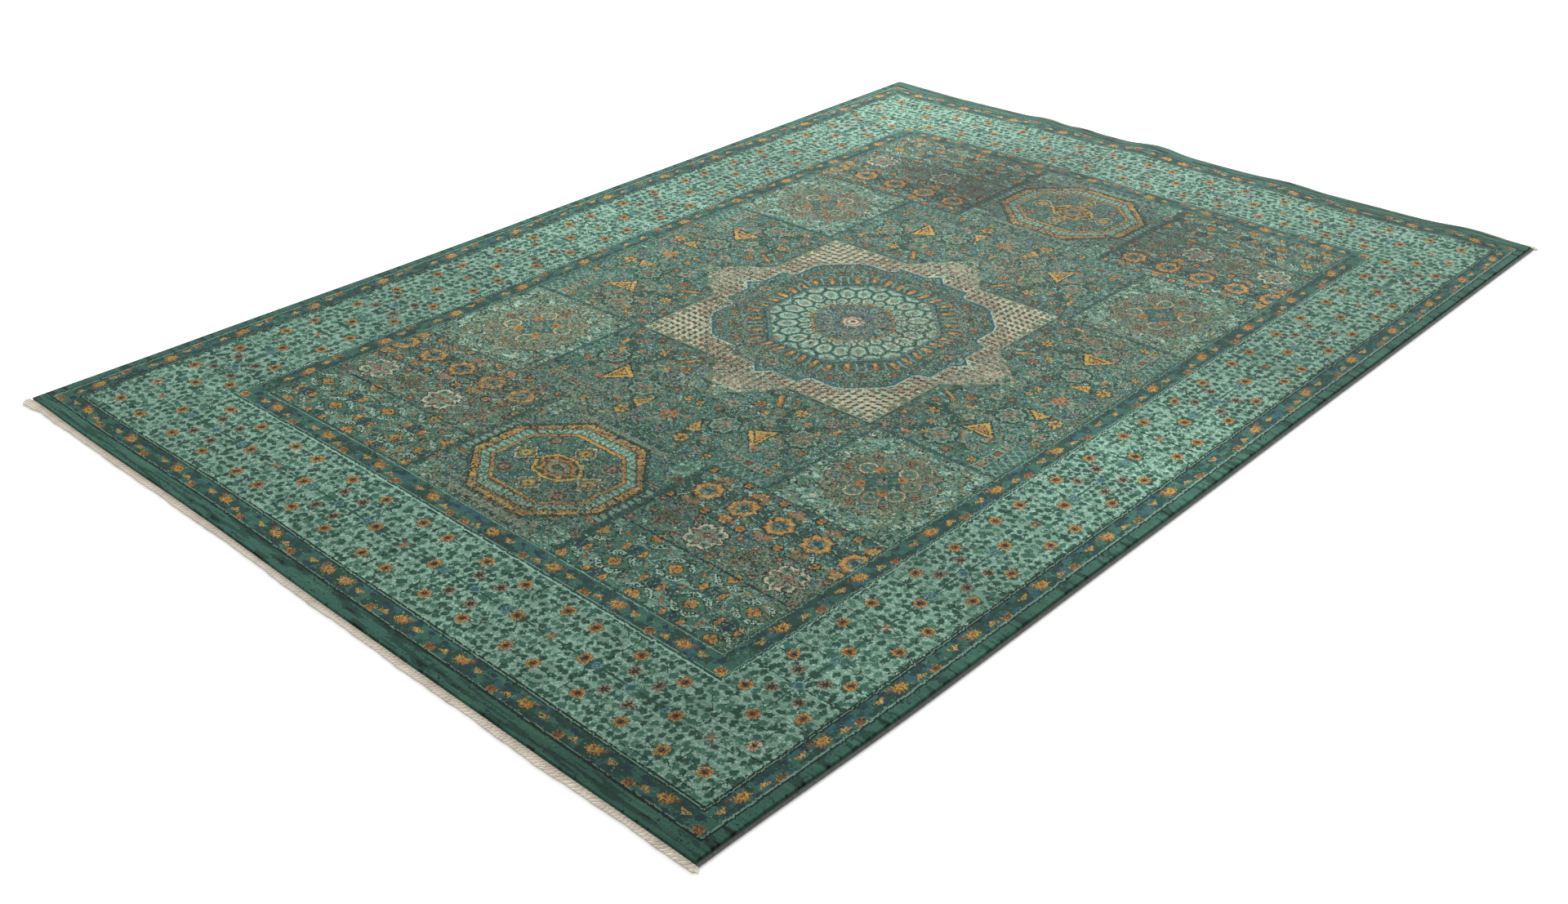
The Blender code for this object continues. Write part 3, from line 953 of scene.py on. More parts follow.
# From the blue diamond, on both sides of it: where each stem starts, bends and ends.
MIDDLE_STEMS = ((4, 5, 10, 11), (19, 20, 24, 27), (51, 5, 47, 13), (66, 6, 75, 16))
GREEN_STEM = (63, 20, 64, 28, 60, 24)
STEMS = ((88, 0, 84, -4), (88, 0, 84, 4), (35, 33, 42, 33), (66, 33, 78, 33), (93, 33, 98, 34),
         (26, 41, 26, 48), (85, 41, 85, 46, 80, 50), (85, 20, 85, 26), (44, 10, 44, 19), (44, 26, 44, 47),
         (38, 22, 44, 27, 50, 22), (58, 44, 66, 50, 82, 50), GREEN_STEM, (104, 9, 104, 24), (98, 17, 104, 23),
         (104, 30, 104, 44), (98, 30, 104, 36))


def leaf_ground(chart, seed):
    """Sea foam with flecks of mint, and the staggered leaves."""
    x, y = chart.all()
    sow(chart, clouds(x, y * 1.6, 30, seed) > 0.22, 3.4, scraps("mmm mm mmmm mm/.mm .mm/mm"), seed, ".", 0.5)
    sow(chart, np.ones(x.shape, bool), 9.2, LEAVES, seed + 1, ". . dt dlls", 0.24)
    sow(chart, clouds(x, y, 14, seed + 3) > 0.45, 9, scraps("dd/.d m mm/m. kd/d."), seed + 4, ".", 0.5)


def stem(chart, places, yarn="k", start=0, side=1, lean=1):
    """A stem one knot wide, through places given as x, y, x, y and so on, to one side of a start."""
    pairs = zip(places[::2], places[1::2])
    line(chart, [(start + side * x + 0.5, lean * y + 0.5) for x, y in pairs], 1.0, yarn)


def rust_cross(chart, x, y):
    """A slanting cross with an orange middle."""
    for turn in (-1, 1):
        line(chart, [(x - 3.6, y + 3.6 * turn), (x + 3.6, y - 3.6 * turn)], 2.6, "r")
    disc(chart, x, y, 1.6, "o")


def flower_bed(seed):
    """Half the width of the main border, from its middle line, with a blue diamond at every repeat."""
    chart = Chart(BED_LENGTH, HALF_BED, "s")
    leaf_ground(chart, seed)
    for start in range(-1, BED_LENGTH // REPEAT + 2):
        cx = start * REPEAT
        for side in (-1, 1):
            for lean in (-1, 1):
                for places, yarn in zip(MIDDLE_STEMS, "kkdd"):
                    stem(chart, places, yarn, cx, side, lean)
            for inner, outer in ((5, 40), (48, 52), (66, 82), (88, 97)):
                stem(chart, (inner, 0, outer, 0), "d", cx, side)
            for places in STEMS:
                stem(chart, places, "d" if places is GREEN_STEM else "k", cx, side)
        for places in ((0, 8, 0, 20), (0, 26, 0, 48), (-6, 32, 0, 38, 6, 32)):
            stem(chart, places, start=cx)
        nest(diamond, chart, cx, 0, (6.5, 6, "y"), (4.6, 4, "b"))
        for side in (-1, 1):
            rosette(chart, cx + 15 * side, 16, 6.8, *"wpkw", 7, rim="p")
            disc(chart, cx + 44 * side, 0, 5.4, "b")
            ring(chart, cx + 44 * side, 0, 3.8, 1.4, "y")
            disc(chart, cx + 44 * side, 0, 1.4, "s")
            for ox, oy, turn in ((59, 0, 0), (26.5, 33.5, 1 + side), (85.5, 33.5, 2 + side)):
                stamp(chart, ORANGE_FLOWER, cx + ox * side, oy, turn)
            rust_cross(chart, cx + 104 * side, 0)
    return chart.knots


print(len(LEAVES), "leaves in turn")

# %% The guards
GUARD_GOLD = small("""
    .......o....g...pwr..
    ..o...wo...og..pprrr.
    ..wo..oog.wooo.prwrrr
    ...oogwggogooo.rrrrr.
    woggwgogggowoo..rrw..
    ..oggwoorogggooo.....
    .wogwgorroogwooo.....
    ogggowoorooggooo.....
    ..wgggoogggoowoo.....
    .ogogggwggwooo.......
    ogo.wggogooooo.......
    ....ogg.oow..oo......
    .....wo..oo...w......
    ......o...o..........
""")
GUARD_RUST = small("""
    .....wo.....
    .oo.owor.og.
    .oworrrrwgo.
    ..wrrwrrrog.
    owrrrorrrwoo
    oorwrrgrrorw
    .oorrwrrroo.
    .gowrrroooo.
    .ooowooorog.
    .ow.oowo.oo.
    .w...ow...o.
""")
BELL = small("""
    .nn...n..nn.
    nbnn.nnnnbnn
    .nnnnnnbnnn.
    ..nbnnnnnn..
    ....nwgn....
    ....ovgo....
    ...gvivgo...
    ..owgvigvo..
    .gvgowvgwgo.
    gowggvggvggo
    .go..owg.wg.
""")


def guard(along, across, rusts, seed):
    """Half a length of a guard stripe. x runs from its middle, y from its inner line."""
    chart = Chart(along, across, "t")
    x, y = chart.all()
    chart.fill(clouds(x, y * 1.8, 9, seed + 1) > 0.76, "l")
    chart.fill(clouds(x, y * 1.5, 13, seed) > 0.62, "b")
    chart.fill(clouds(x, y * 1.3, 10, seed + 2) > 0.50, "d")
    sow(chart, np.ones(x.shape, bool), 6, scraps("ll lll/.ll ss nn/n. bbb"), seed, ". lb ld sl", 0.5)
    for here, after in zip(rusts, rusts[1:]):
        unit = after - here
        for share in (0.30, 0.56, 0.86):
            edge = here + share * unit
            line(chart, [(edge, 4), (here + (share + 0.05) * unit, across / 2), (edge, across - 4)], 1.2, "d")
        for share, height in ((0.06, 0.24), (0.30, 0.8), (0.52, 0.82), (0.60, 0.2), (0.84, 0.24)):
            disc(chart, here + share * unit, height * across, 3.6, "n", 1.5)
        for motif, share, height, turn in (
                (BELL, 0.17, 0.46, 0), (BELL, 0.68, 0.56, 2), (GUARD_GOLD, 0.44, 0.44, 0),
                (GUARD_RUST, 0, 0.76, 0)):
            stamp(chart, motif, here + share * unit, height * across, turn)
    return chart.knots


print("a guard repeats", len(BELL), "by", len(BELL[0]), "knot bells")

# %% [markdown]
# ## The whole chart
#
# A weaver keeps a chart of a quarter and turns it over for the other three. So the near right
# quarter is put together here, from the middle outwards, and mirrored twice. Hand work is
# never that exact: stray knots and colours that change a knot early or late come last.

# %% The whole chart
# Counted in knots from the middle of the rug: where the net, the centre square and the field
# end, and where each stripe begins across the rug and along it.
NET_REACH = 172
SQUARE_ROWS = 331
FIELD_Y = 530
INNER_X, INNER_Y = 338, 532             # inner guard
BED_X, BED_Y = 360, 556                 # wide border
OUTER_X, OUTER_Y = 471, 669             # outer guard
EDGE_X, EDGE_Y = 495, 695               # plain edge band
# Yarns of stray knots in the field, the size of a patch of them, and how rare they are.
STRAY = (("p", 2.3, 0.91), ("w", 2.1, 0.90), ("v", 2.6, 0.93), ("k", 2.4, 0.85), ("b", 3.1, 0.93),
         ("s", 1.9, 0.91), ("m", 2.0, 0.93))
CORNER_STEMS = (
    (388, 574, 397, 574), (430, 575, 438, 575), (458, 586, 458, 596), (428, 594, 436, 594),
    (380, 611, 405, 611), (426, 611, 440, 611), (432, 606, 438, 611), (436, 604, 444, 610),
    (452, 604, 464, 604), (412, 626, 412, 650), (405, 634, 412, 642), (419, 634, 412, 642),
    (372, 645, 386, 645), (386, 646, 378, 652), (394, 630, 394, 637), (394, 652, 398, 664),
    (458, 632, 458, 652), (451, 642, 458, 634), (465, 642, 458, 634), (364, 660, 392, 658),
    (425, 659, 446, 659), (446, 659, 462, 642), (444, 572, 444, 586), (432, 632, 427, 624),
    (448, 556, 466, 556), (430, 650, 424, 660), (372, 572, 390, 590), (404, 648, 416, 656),
)


def bed_strip(seed, above, below, length):
    """A length of the main border on both sides of its middle line, from half a repeat onwards."""
    half = flower_bed(seed)
    bed = np.concatenate([half[::-1], half])
    return bed[HALF_BED - above:HALF_BED + below, REPEAT // 2:REPEAT // 2 + length]


def corner_bed():
    """The main border's corner, between its two lengths."""
    chart = Chart(112, 116, "s", BED_X, BED_Y)
    leaf_ground(chart, 61)
    for places in CORNER_STEMS:
        stem(chart, places)
    disc(chart, 438, 586, 3.6, "b")
    disc(chart, 402, 575, 4.2, "d")
    for cx, cy, turn in ((414, 568, 0), (438, 640, 1), (394, 645, 2), (370, 610, 3)):
        stamp(chart, ORANGE_FLOWER, cx, cy, turn)
    stamp(chart, ORANGE_FLOWER, 444, 594, 1, "oiglrowr")
    rust_cross(chart, 412, 609)
    return chart.knots


def guard_corner(chart, x, y, half, flower, swap, dot):
    """Where two lengths of a guard meet: a plain block, a rust flower and a dot."""
    block(chart, x, y, half, half, "t")
    stamp(chart, GUARD_RUST, *flower, 0, swap)
    disc(chart, *dot, 4.5, "n")


def quarter():
    """A quarter of the rug, from its middle to its near right corner."""
    chart = Chart(HALF_X, HALF_Y, "d")
    x, y = chart.all()
    # --- centre square, drawn in slightly along the rug, and the end panel
    rows = np.arange(SQUARE_ROWS) + 0.5
    rows = (rows * (1.045 - 0.030 * rows / (SQUARE_ROWS - 1))).astype(int)
    chart.paste(0, 0, square[np.minimum(rows, S - 1)])
    chart.paste(0, PANEL_TOP, end_zone())
    # --- main border
    chart.paste(0, BED_Y, bed_strip(51, 54, 58, 400))
    chart.paste(362, 0, bed_strip(54, 54, 56, 560).T)
    chart.paste(BED_X, BED_Y, corner_bed())
    # --- inner guard
    chart.paste(0, INNER_Y, guard(370, 24, range(-76, 355, 86), 81)[:, :362])
    chart.paste(INNER_X, 0, guard(540, 25, range(-52, 531, 97), 82).T[:INNER_Y])
    guard_corner(chart, 351, 545, 13, (354, 548), "og", (344, 538))
    # --- outer guard
    chart.paste(0, OUTER_Y, guard(HALF_X, 26, range(-22, 489, 85), 83))
    rusts = [688 - 80 * n - 1.9 * n * n for n in range(8, -1, -1)]
    chart.paste(OUTER_X, 0, guard(HALF_Y, 24, rusts, 84).T[:672])
    guard_corner(chart, 483, 683, 12, (484, 687), "", (475, 677))
    # --- plain edge band, in streaks along each row of knots
    band = (x > EDGE_X) | (y > EDGE_Y)
    streak = clouds(x * 0.12, y, 2.6, 72) + 0.5 * clouds(x * 0.05, y, 9, 73)
    chart.fill(band, "d")
    chart.lay(band, (streak > 0.57, "t"), (streak > 1.02, "l"), (streak < 0.26, "k"))
    # --- thin lines between the stripes: place along the rug, place across it, width, yarn
    for place, side, width, yarn in (
            (530.6, 336.8, 1.4, "d"), (531.9, 338.2, 1.1, "s"), (553.6, 360.2, 1.1, "s"),
            (555.4, 361.9, 2.2, "d"), (557.1, 363.6, 1.1, "m"), (667.4, 469.2, 1.9, "k"),
            (668.9, 470.7, 1.1, "s"), (670.4, 472.2, 1.6, "k"), (692.8, 493.0, 1.1, "s"),
            (694.6, 494.8, 2.4, "k")):
        chart.fill(np.abs(np.maximum(x - side, y - place)) < width / 2, yarn)
    return chart.knots


def whole():
    """The quarter, turned over twice. The weaver began the near bed a few knots to the right."""
    q = quarter()
    half = np.concatenate([q[:, ::-1], q], axis=1)
    rug = np.concatenate([half[::-1], half], axis=0)
    bed = rug[HALF_Y + 558:HALF_Y + 666, HALF_X - 360:HALF_X + 360]
    bed[:] = np.roll(bed, 4, axis=1)
    return rug


def flecked(rug):
    """Stray knots where the weaver used up short ends of yarn: most in brown patches of the field."""
    x, y = np.meshgrid(np.arange(ACROSS) + 0.5 - HALF_X, np.arange(ALONG) + 0.5 - HALF_Y)
    a, b = 0.8 * x + 0.6 * y, 1.2 * y - 0.9 * x
    far_x, far_y = np.abs(x), np.abs(y)
    field = (far_x < FIELD_X - 1) & (far_y < FIELD_Y)
    bed = (np.maximum(far_x - 363, far_y - 557) > 0) & (far_x < 470) & (far_y < 668)
    net = (np.maximum(far_x, far_y) < NET_REACH) & (far_x + far_y > 240)
    brown = 0.16 * np.clip(clouds(x, y, 95, 121) * 2 - 0.8, 0, 1)
    for number, (yarn, size, least) in enumerate(STRAY):
        warm = brown if yarn in "pwv" else 0
        rug[field & ~net & (clouds(a, b, size, 110 + number) > least - warm)] = YARN[yarn]
    for number, yarn in enumerate("kn"):
        rug[~field & ~bed & (clouds(a, b, 2.6, 130 + number) > 0.90)] = YARN[yarn]
    return rug


def slipped(rug):
    """Here and there the colour changes a knot early or late, as it does by hand."""
    x, y = np.meshgrid(np.arange(ACROSS), np.arange(ALONG))
    calm = np.where(np.maximum(np.abs(x - HALF_X), np.abs(y - HALF_Y)) < NET_REACH, 0.55, 1.0)
    along_row = (clouds(x * 0.6, y * 7.0, 7, 97) - 0.5) * 2.4
    right = (along_row + (clouds(x, y, 2.7, 98) - 0.5) * 1.6) * calm
    down = (clouds(x, y, 2.9, 99) - 0.5) * 1.6 * calm
    column = np.clip(x + np.rint(right).astype(int), 0, ACROSS - 1)
    row = np.clip(y + np.rint(down).astype(int), 0, ALONG - 1)
    return rug[row, column]


knots = slipped(flecked(whole()))
print("the chart has", knots.shape[1], "by", knots.shape[0], "knots")

# %% [markdown]
# ## How the rug lies
#
# No hand-made rug is a true rectangle. Its sides wander by a few millimetres, its pattern is
# beaten down tighter in some places than in others, and its far end lifts off the floor in low
# ripples. All of this is kept in short tables, so that every piece follows the same lie.

# %% The rug's own measures
PILE_WIDTH = 1.718
PILE_LENGTH = 2.420
PILE_THICKNESS = 0.0070     # from the floor to the top of the wool
FOUNDATION = 0.0026         # the woven ground that the knots are tied into
SHOULDER_HEIGHT = 0.0052    # where the pile's rounded edge begins
SHOULDER_INSET = 0.0016     # and how far in it ends
GAP = 0.0003                # between the pile and an end strip
HALF_WIDTH = PILE_WIDTH / 2
HALF_LENGTH = PILE_LENGTH / 2

# Distance along the edge, outward offset.
LEFT_EDGE = ((0.00, 0.000), (0.30, -0.003), (0.86, -0.009), (1.45, -0.005), (2.42, 0.000))
RIGHT_EDGE = ((0.00, 0.000), (0.42, 0.007), (0.95, 0.005), (1.60, 0.002), (2.42, 0.000))
NEAR_EDGE = ((0.00, 0.000), (0.22, 0.002), (0.58, -0.001), (0.95, 0.002), (1.40, 0.001), (1.718, -0.001))
FAR_EDGE = ((0.00, 0.000), (0.22, -0.007), (0.50, 0.000), (0.81, 0.003), (1.05, -0.003), (1.40, -0.004),
            (1.718, 0.000))

# Crest's distance from the left side, its height, its half width.
RIPPLES = ((0.490, 0.0050, 0.075), (0.600, 0.0030, 0.060), (0.815, 0.0075, 0.095),
           (1.165, 0.0040, 0.100), (1.590, 0.0055, 0.110))
RIPPLE_REACH = 0.170


def smooth(t):
    """An S-curve from 0 to 1, flat at both ends."""
    t = np.clip(t, 0.0, 1.0)
    return t * t * (3 - 2 * t)


def along(rows, place, column=1):
    """Reads a column of a table at places along its first column, eased between rows."""
    starts = np.array([row[0] for row in rows])
    values = np.array([row[column] for row in rows])
    place = np.asarray(place, float)
    step = np.clip(np.searchsorted(starts, place, side="right") - 1, 0, len(rows) - 2)
    t = smooth((place - starts[step]) / (starts[step + 1] - starts[step]))
    return values[step] + t * (values[step + 1] - values[step])


def lift(x, y):
    """Height of the underside above the floor."""
    height = np.zeros(np.broadcast(x, y).shape)
    for crest, rise, half_width in RIPPLES:
        away = np.minimum(np.abs(x + HALF_WIDTH - crest) / half_width, 1.0)
        height += rise * (0.5 + 0.5 * np.cos(math.pi * away))
    return height * smooth(1 - (HALF_LENGTH - y) / RIPPLE_REACH)


def lie(x, y, z):
    """Moves points of the true rectangle to where they lie, and into the frame."""
    x, y, z = (np.asarray(values, float) for values in (x, y, z))
    side = (1 + x / HALF_WIDTH) / 2
    end = (1 + y / HALF_LENGTH) / 2
    moved_x = x + side * along(RIGHT_EDGE, y + HALF_LENGTH) - (1 - side) * along(LEFT_EDGE, y + HALF_LENGTH)
    moved_y = y + end * along(FAR_EDGE, x + HALF_WIDTH) - (1 - end) * along(NEAR_EDGE, x + HALF_WIDTH)
    return np.stack(np.broadcast_arrays(moved_x + SHIFT[0], moved_y + SHIFT[1], z + lift(x, y)), axis=-1)


SHIFT = (0.0, 0.0)
rim = np.linspace(-1, 1, 51)
unshifted = np.concatenate([lie(-HALF_WIDTH, rim * HALF_LENGTH, 0.0),
                            lie(rim * HALF_WIDTH, -HALF_LENGTH, 0.0)])
SHIFT = (body_low.x - unshifted[:, 0].min(), body_low.y - unshifted[:, 1].min())
print("the rug lies %.1f mm and %.1f mm off its own middle" % (SHIFT[0] * 1000, SHIFT[1] * 1000))

# %% [markdown]
# The chart is not an even grid on the rug either. The left half was woven wider than the right
# one, and the rows run slightly slanted. One could bend the pattern with a lattice, but nine
# places are enough here. At each of them the pattern has slipped by so many millimetres, and
# smooth curves run between the nine.

# %% From the chart to the rug
EDGE_POWER = 20             # a high power lets the slip die out only close to the rug's edge
# A row of the table for each place along the rug; in it the left, the middle and the right.
SLIP_RIGHT = {"near": (-6, 35, 6), "middle": (-12, 33, 7), "far": (-8, 33, 15)}
SLIP_FAR = {"near": (-29, -13, -17), "middle": (-13, 2, 4), "far": (-2, 15, 15)}


def through(three, t):
    """The smooth curve through three values, at t = -1, 0 and 1."""
    first, middle, last = three
    return middle + (last - first) / 2 * t + ((first + last) / 2 - middle) * t * t


def slipped_by(table, u, v):
    """Metres that the pattern has slipped. It keeps to the rug's edges."""
    by_place = [through(table[place], u) for place in ("near", "middle", "far")]
    return through(by_place, v) / 1000


def on_rug(column, row, z):
    """Where a corner between knots lies. Columns count from the left, rows from the far end."""
    u = np.asarray(column, float) / (ACROSS / 2) - 1
    v = 1 - np.asarray(row, float) / (ALONG / 2)
    x = HALF_WIDTH * u + slipped_by(SLIP_RIGHT, u, v) * (1 - u ** EDGE_POWER)
    y = HALF_LENGTH * v + slipped_by(SLIP_FAR, u, v) * (1 - v ** EDGE_POWER)
    return lie(x, y, z)


print("one knot is %.2f mm wide" % (1000 * PILE_WIDTH / ACROSS))

# %% [markdown]
# ## From knots to a mesh
#
# The rug has about one and a half million knots. A mesh with a face for each would be far too
# heavy. So one face carries a block of four by four knots. Sixteen yarn numbers of four bits
# each are packed into the three parts of one vector on that face, and the material unpacks
# them again. Nothing is painted, and no image is needed.

# %% Pack sixteen knots into one face
BLOCK = 4
BASE = 16                   # one more than the highest yarn number
PER_PART = 6                # yarn numbers in one part of the vector: 16 ** 6 still counts exactly
STEEP = 50                  # degrees between two faces that make a crease


def packed(chart):
    """One vector per block of knots."""
    rows, columns = chart.shape[0] // BLOCK, chart.shape[1] // BLOCK
    blocks = chart.reshape(rows, BLOCK, columns, BLOCK).transpose(0, 2, 1, 3).reshape(rows, columns, -1)
    parts = np.zeros((rows, columns, 3))
    for number in range(BLOCK * BLOCK):
        parts[..., number // PER_PART] += blocks[..., number] * float(BASE) ** (number % PER_PART)
    return parts


def triangles(thing):
    return sum(len(face.vertices) - 2 for face in thing.data.polygons)


def finished(name, points, faces, materials):
    """A mesh object from points and faces, rounded except over steep edges."""
    mesh = bpy.data.meshes.new(name)
    mesh.from_pydata(points, [], faces)
    mesh.validate()
    for material in materials:
        mesh.materials.append(material)
    mesh.shade_smooth()
    mesh.set_sharp_from_angle(angle=math.radians(STEEP))
    thing = bpy.data.objects.new(name, mesh)
    bpy.context.collection.objects.link(thing)
    print(name, "has", triangles(thing), "triangles")
    return thing


class Slab:
    """Collects the faces of a layer of cloth, each with its block of yarns and three maps."""

    def __init__(self):
        self.faces, self.yarns, self.maps = [], [], {"in_block": [], "knots": [], "OFBake": []}

    def add(self, face, yarns, inner, place, flat):
        """One face. The last three give two numbers for each of its corners."""
        self.faces.append(face)
        self.yarns.append(yarns)
        for corners, values in zip(self.maps.values(), (inner, place, flat)):
            corners.extend(values)

    def made(self, name, points, material):
        thing = finished(name, points, self.faces, [material])
        layer = thing.data.attributes.new("block_yarns", "FLOAT_VECTOR", "FACE")
        layer.data.foreach_set("vector", np.asarray(self.yarns, np.float32).ravel())
        for title, corners in self.maps.items():
            layer = thing.data.uv_layers.new(name=title, do_init=False)
            layer.uv.foreach_set("vector", np.asarray(corners, np.float32).ravel())
        return thing


knot_blocks = packed(knots)
print(knot_blocks.shape[0] * knot_blocks.shape[1], "faces carry", knots.size, "knots")

# %% [markdown]
# ## The pile
#
# The pile is tied in four zones: the field, the inner guard stripe, the wide border, and the
# outer guard with the plain edge band. Each zone becomes a closed slab. Its top has a face for
# each block of knots. Its underside is hidden by the foundation, so it gets by with faces
# sixteen times larger. The clipped surface is never quite even, so the top rolls by a fraction
# of a millimetre, and it rounds over where the pile ends at the rug's edge.

# %% A closed slab of pile
COARSE = 4                  # blocks along one large face of the underside
UNEVEN = 0.00018            # how far the shears wander up and down
LAYER_STEP = (0.0002, 0.0003)           # keeps corners of two layers apart on the flat map
BLOCK_CORNERS = ((0, 0), (1, 0), (1, 1), (0, 1))
# For each side of a block: the step to its neighbour, then the side's two corners seen from inside.
BLOCK_SIDES = (((-1, 0), ((0, 1), (0, 0))), ((0, -1), ((0, 0), (1, 0))), ((1, 0), ((1, 0), (1, 1))),
               ((0, 1), ((1, 1), (0, 1))))


def uneven(points):
    """The small waves that hand shears leave in a pile."""
    x, y = points[..., 0], points[..., 1]
    wave = np.sin(x * 61 + 2.1 * np.sin(y * 17)) + np.sin(y * 47 + 1.7 * np.sin(x * 23 + 1))
    return 0.5 * UNEVEN * (wave + np.sin(x * 143 + y * 95))


def coarse_lines(zone, axis):
    """The lines between large faces: one every few blocks, and one wherever the zone starts or stops."""
    changes = np.argwhere(np.diff(zone.astype(int), axis=axis, prepend=0, append=0))
    return sorted({*range(0, zone.shape[axis] + 1, COARSE), *changes[:, axis].tolist()})


def underside(zone, belongs):
    """The large faces under a zone: the block each starts from, and the corners to walk round it.

    Next to the zone's edge the walk stops at every block, so that no gap opens there.
    """
    lines_x, lines_y = coarse_lines(zone, 1), coarse_lines(zone, 0)
    for y0, y1 in zip(lines_y, lines_y[1:]):
        for x0, x1 in zip(lines_x, lines_x[1:]):
            if zone[y0, x0]:
                walk = [(y0, x) for x in ((x0,) if belongs(y0 - 1, x0) else range(x0, x1))]
                walk += [(y, x1) for y in ((y0,) if belongs(y0, x1) else range(y0, y1))]
                walk += [(y1, x) for x in ((x1,) if belongs(y1, x0) else range(x1, x0, -1))]
                walk += [(y, x0) for y in ((y1,) if belongs(y0, x0 - 1) else range(y1, y0, -1))]
                yield (y0, x0), walk


def pile_slab(name, zone, material, unroll):
    """One zone of the pile. zone says which blocks belong to it, unroll gives its flat map."""
    rows, columns = zone.shape
    lines_x, lines_y = np.meshgrid(np.arange(columns + 1), np.arange(rows + 1))
    inset = SHOULDER_INSET / PILE_WIDTH * ACROSS / BLOCK
    drawn_x, drawn_y = np.clip(lines_x, inset, columns - inset), np.clip(lines_y, inset, rows - inset)
    top = on_rug(drawn_x * BLOCK, drawn_y * BLOCK, PILE_THICKNESS)
    top[..., 2] += uneven(top)
    under = on_rug(lines_x * BLOCK, lines_y * BLOCK, FOUNDATION)
    lip = on_rug(lines_x * BLOCK, lines_y * BLOCK, SHOULDER_HEIGHT)
    slab, index, points = Slab(), {}, []

    def corner(layer, row, column):
        key = (layer, row, column)
        if key not in index:
            index[key] = len(points)
            points.append(tuple((top, under, lip)[layer][row, column]))
        return index[key]

    def face(corners, block, local, hidden=False):
        flat = []
        for layer, row, column in corners:
            u, v = unroll(block, row, column, hidden)
            flat.append((u + LAYER_STEP[0] * layer, v + LAYER_STEP[1] * layer))
        place = [(column * BLOCK, row * BLOCK) for _, row, column in corners]
        slab.add([corner(*key) for key in corners], knot_blocks[block], local, place, flat)

    def on_chart(row, column):
        return 0 <= row < rows and 0 <= column < columns

    def belongs(row, column):
        return on_chart(row, column) and zone[row, column]

    for row, column in np.argwhere(zone).tolist():
        face([(0, row + a, column + b) for a, b in BLOCK_CORNERS], (row, column),
             [(b * BLOCK, a * BLOCK) for a, b in BLOCK_CORNERS])
        for (down, right), ends in BLOCK_SIDES:
            if belongs(row + down, column + right):
                continue
            (r0, c0), (r1, c1) = ((row + a, column + b) for a, b in ends)
            start, end = ((b * BLOCK, a * BLOCK) for a, b in ends)
            outside = not on_chart(row + down, column + right)
            layers = (0, 2, 1) if outside else (0, 1)
            for upper, lower in zip(layers, layers[1:]):
                face([(upper, r0, c0), (lower, r0, c0), (lower, r1, c1), (upper, r1, c1)], (row, column),
                     [start, start, end, end], hidden=not outside)
    for block, walk in underside(zone, belongs):
        face([(1, y, x) for y, x in walk], block, [(2, 2)] * len(walk), hidden=True)
    return slab.made(name, points, material)


print("under the pile one face is", COARSE * BLOCK, "knots wide")

# %% [markdown]
# Each slab also gets a flat map, for anyone who wants to bake its finish. A ring-shaped zone
# would waste most of a square picture, so its four sides are cut in half and stacked as eight
# strips. The hidden faces share a narrow margin.

# %% Flat maps
SHOWN, HIDDEN, UPRIGHT_SPAN = (0.005, 0.935), (0.945, 0.995), (0.005, 0.995)


def between(span, t):
    return span[0] + (span[1] - span[0]) * t


def unroll_rectangle(half_x, half_y):
    """The flat map of a zone without a hole."""
    def unroll(_, row, column, hidden):
        u = 0.5 + (column * BLOCK - HALF_X) / (2 * half_x)
        v = 0.5 - (row * BLOCK - HALF_Y) / (2 * half_y)
        return between(HIDDEN if hidden else SHOWN, u), between(UPRIGHT_SPAN, v)
    return unroll


def unroll_ring(hole_x, hole_y, half_x, half_y):
    """The flat map of a ring, as eight strips."""
    whole_map = unroll_rectangle(half_x, half_y)
    longest, widest = max(half_x, half_y), max(half_x - hole_x, half_y - hole_y) + 2

    def unroll(block, row, column, hidden):
        if hidden:
            return whole_map(block, row, column, hidden)
        x, y = column * BLOCK - HALF_X, row * BLOCK - HALF_Y
        middle_y, middle_x = ((place + 0.5) * BLOCK - half for place, half in zip(block, (HALF_Y, HALF_X)))
        at_end = abs(middle_y) > hole_y
        strip = 4 * at_end + 2 * (middle_x > 0) + (middle_y > 0)
        far, wide = (abs(x), abs(y) - hole_y) if at_end else (abs(y), abs(x) - hole_x)
        return between(SHOWN, far / longest), (strip + (wide + 1) / widest) / 8
    return unroll


print("hidden faces share", round(100 * (HIDDEN[1] - HIDDEN[0])), "percent of each map")

# %% Tie the four zones
ZONES = (("pile_field", 340, 532), ("pile_inner_guard", 364, 556), ("pile_wide_border", 472, 668),
         ("pile_outer_guard", HALF_X, HALF_Y))      # name, and how far out the zone reaches


def tie_zones(material):
    """The pile, zone by zone from the middle outwards."""
    rows, columns = knot_blocks.shape[:2]
    block_x = np.abs((np.arange(columns) + 0.5) * BLOCK - HALF_X)
    block_y = np.abs((np.arange(rows) + 0.5) * BLOCK - HALF_Y)
    inside = np.zeros((rows, columns), bool)
    made, hole = [], None
    for name, half_x, half_y in ZONES:
        reached = (block_x[None, :] < half_x) & (block_y[:, None] < half_y)
        unroll = unroll_ring(*hole, half_x, half_y) if hole else unroll_rectangle(half_x, half_y)
        made.append(pile_slab(name, reached & ~inside, material, unroll))
        inside, hole = reached, (half_x, half_y)
    return made


print(len(ZONES), "zones to tie, once the wool is ready")

# %% [markdown]
# ## Wool
#
# Hand-dyed wool is never one flat colour. The dye takes a little differently in every lot, so a
# new lot shows as a band or a streak along the rows: weavers call it abrash. Within a row each
# knot differs a little too. The clipped ends catch the light like velvet, which is what sheen
# is for. The material below looks up each knot's yarn, then adds abrash, knot tone and fibres,
# and soft patches of painted light and shade: the near right corner is painted darker, the
# sides and the far end lighter.

# %% Node helpers
FAINT, STRONG = 0.3, 0.7                # smooth noise hardly ever leaves this range


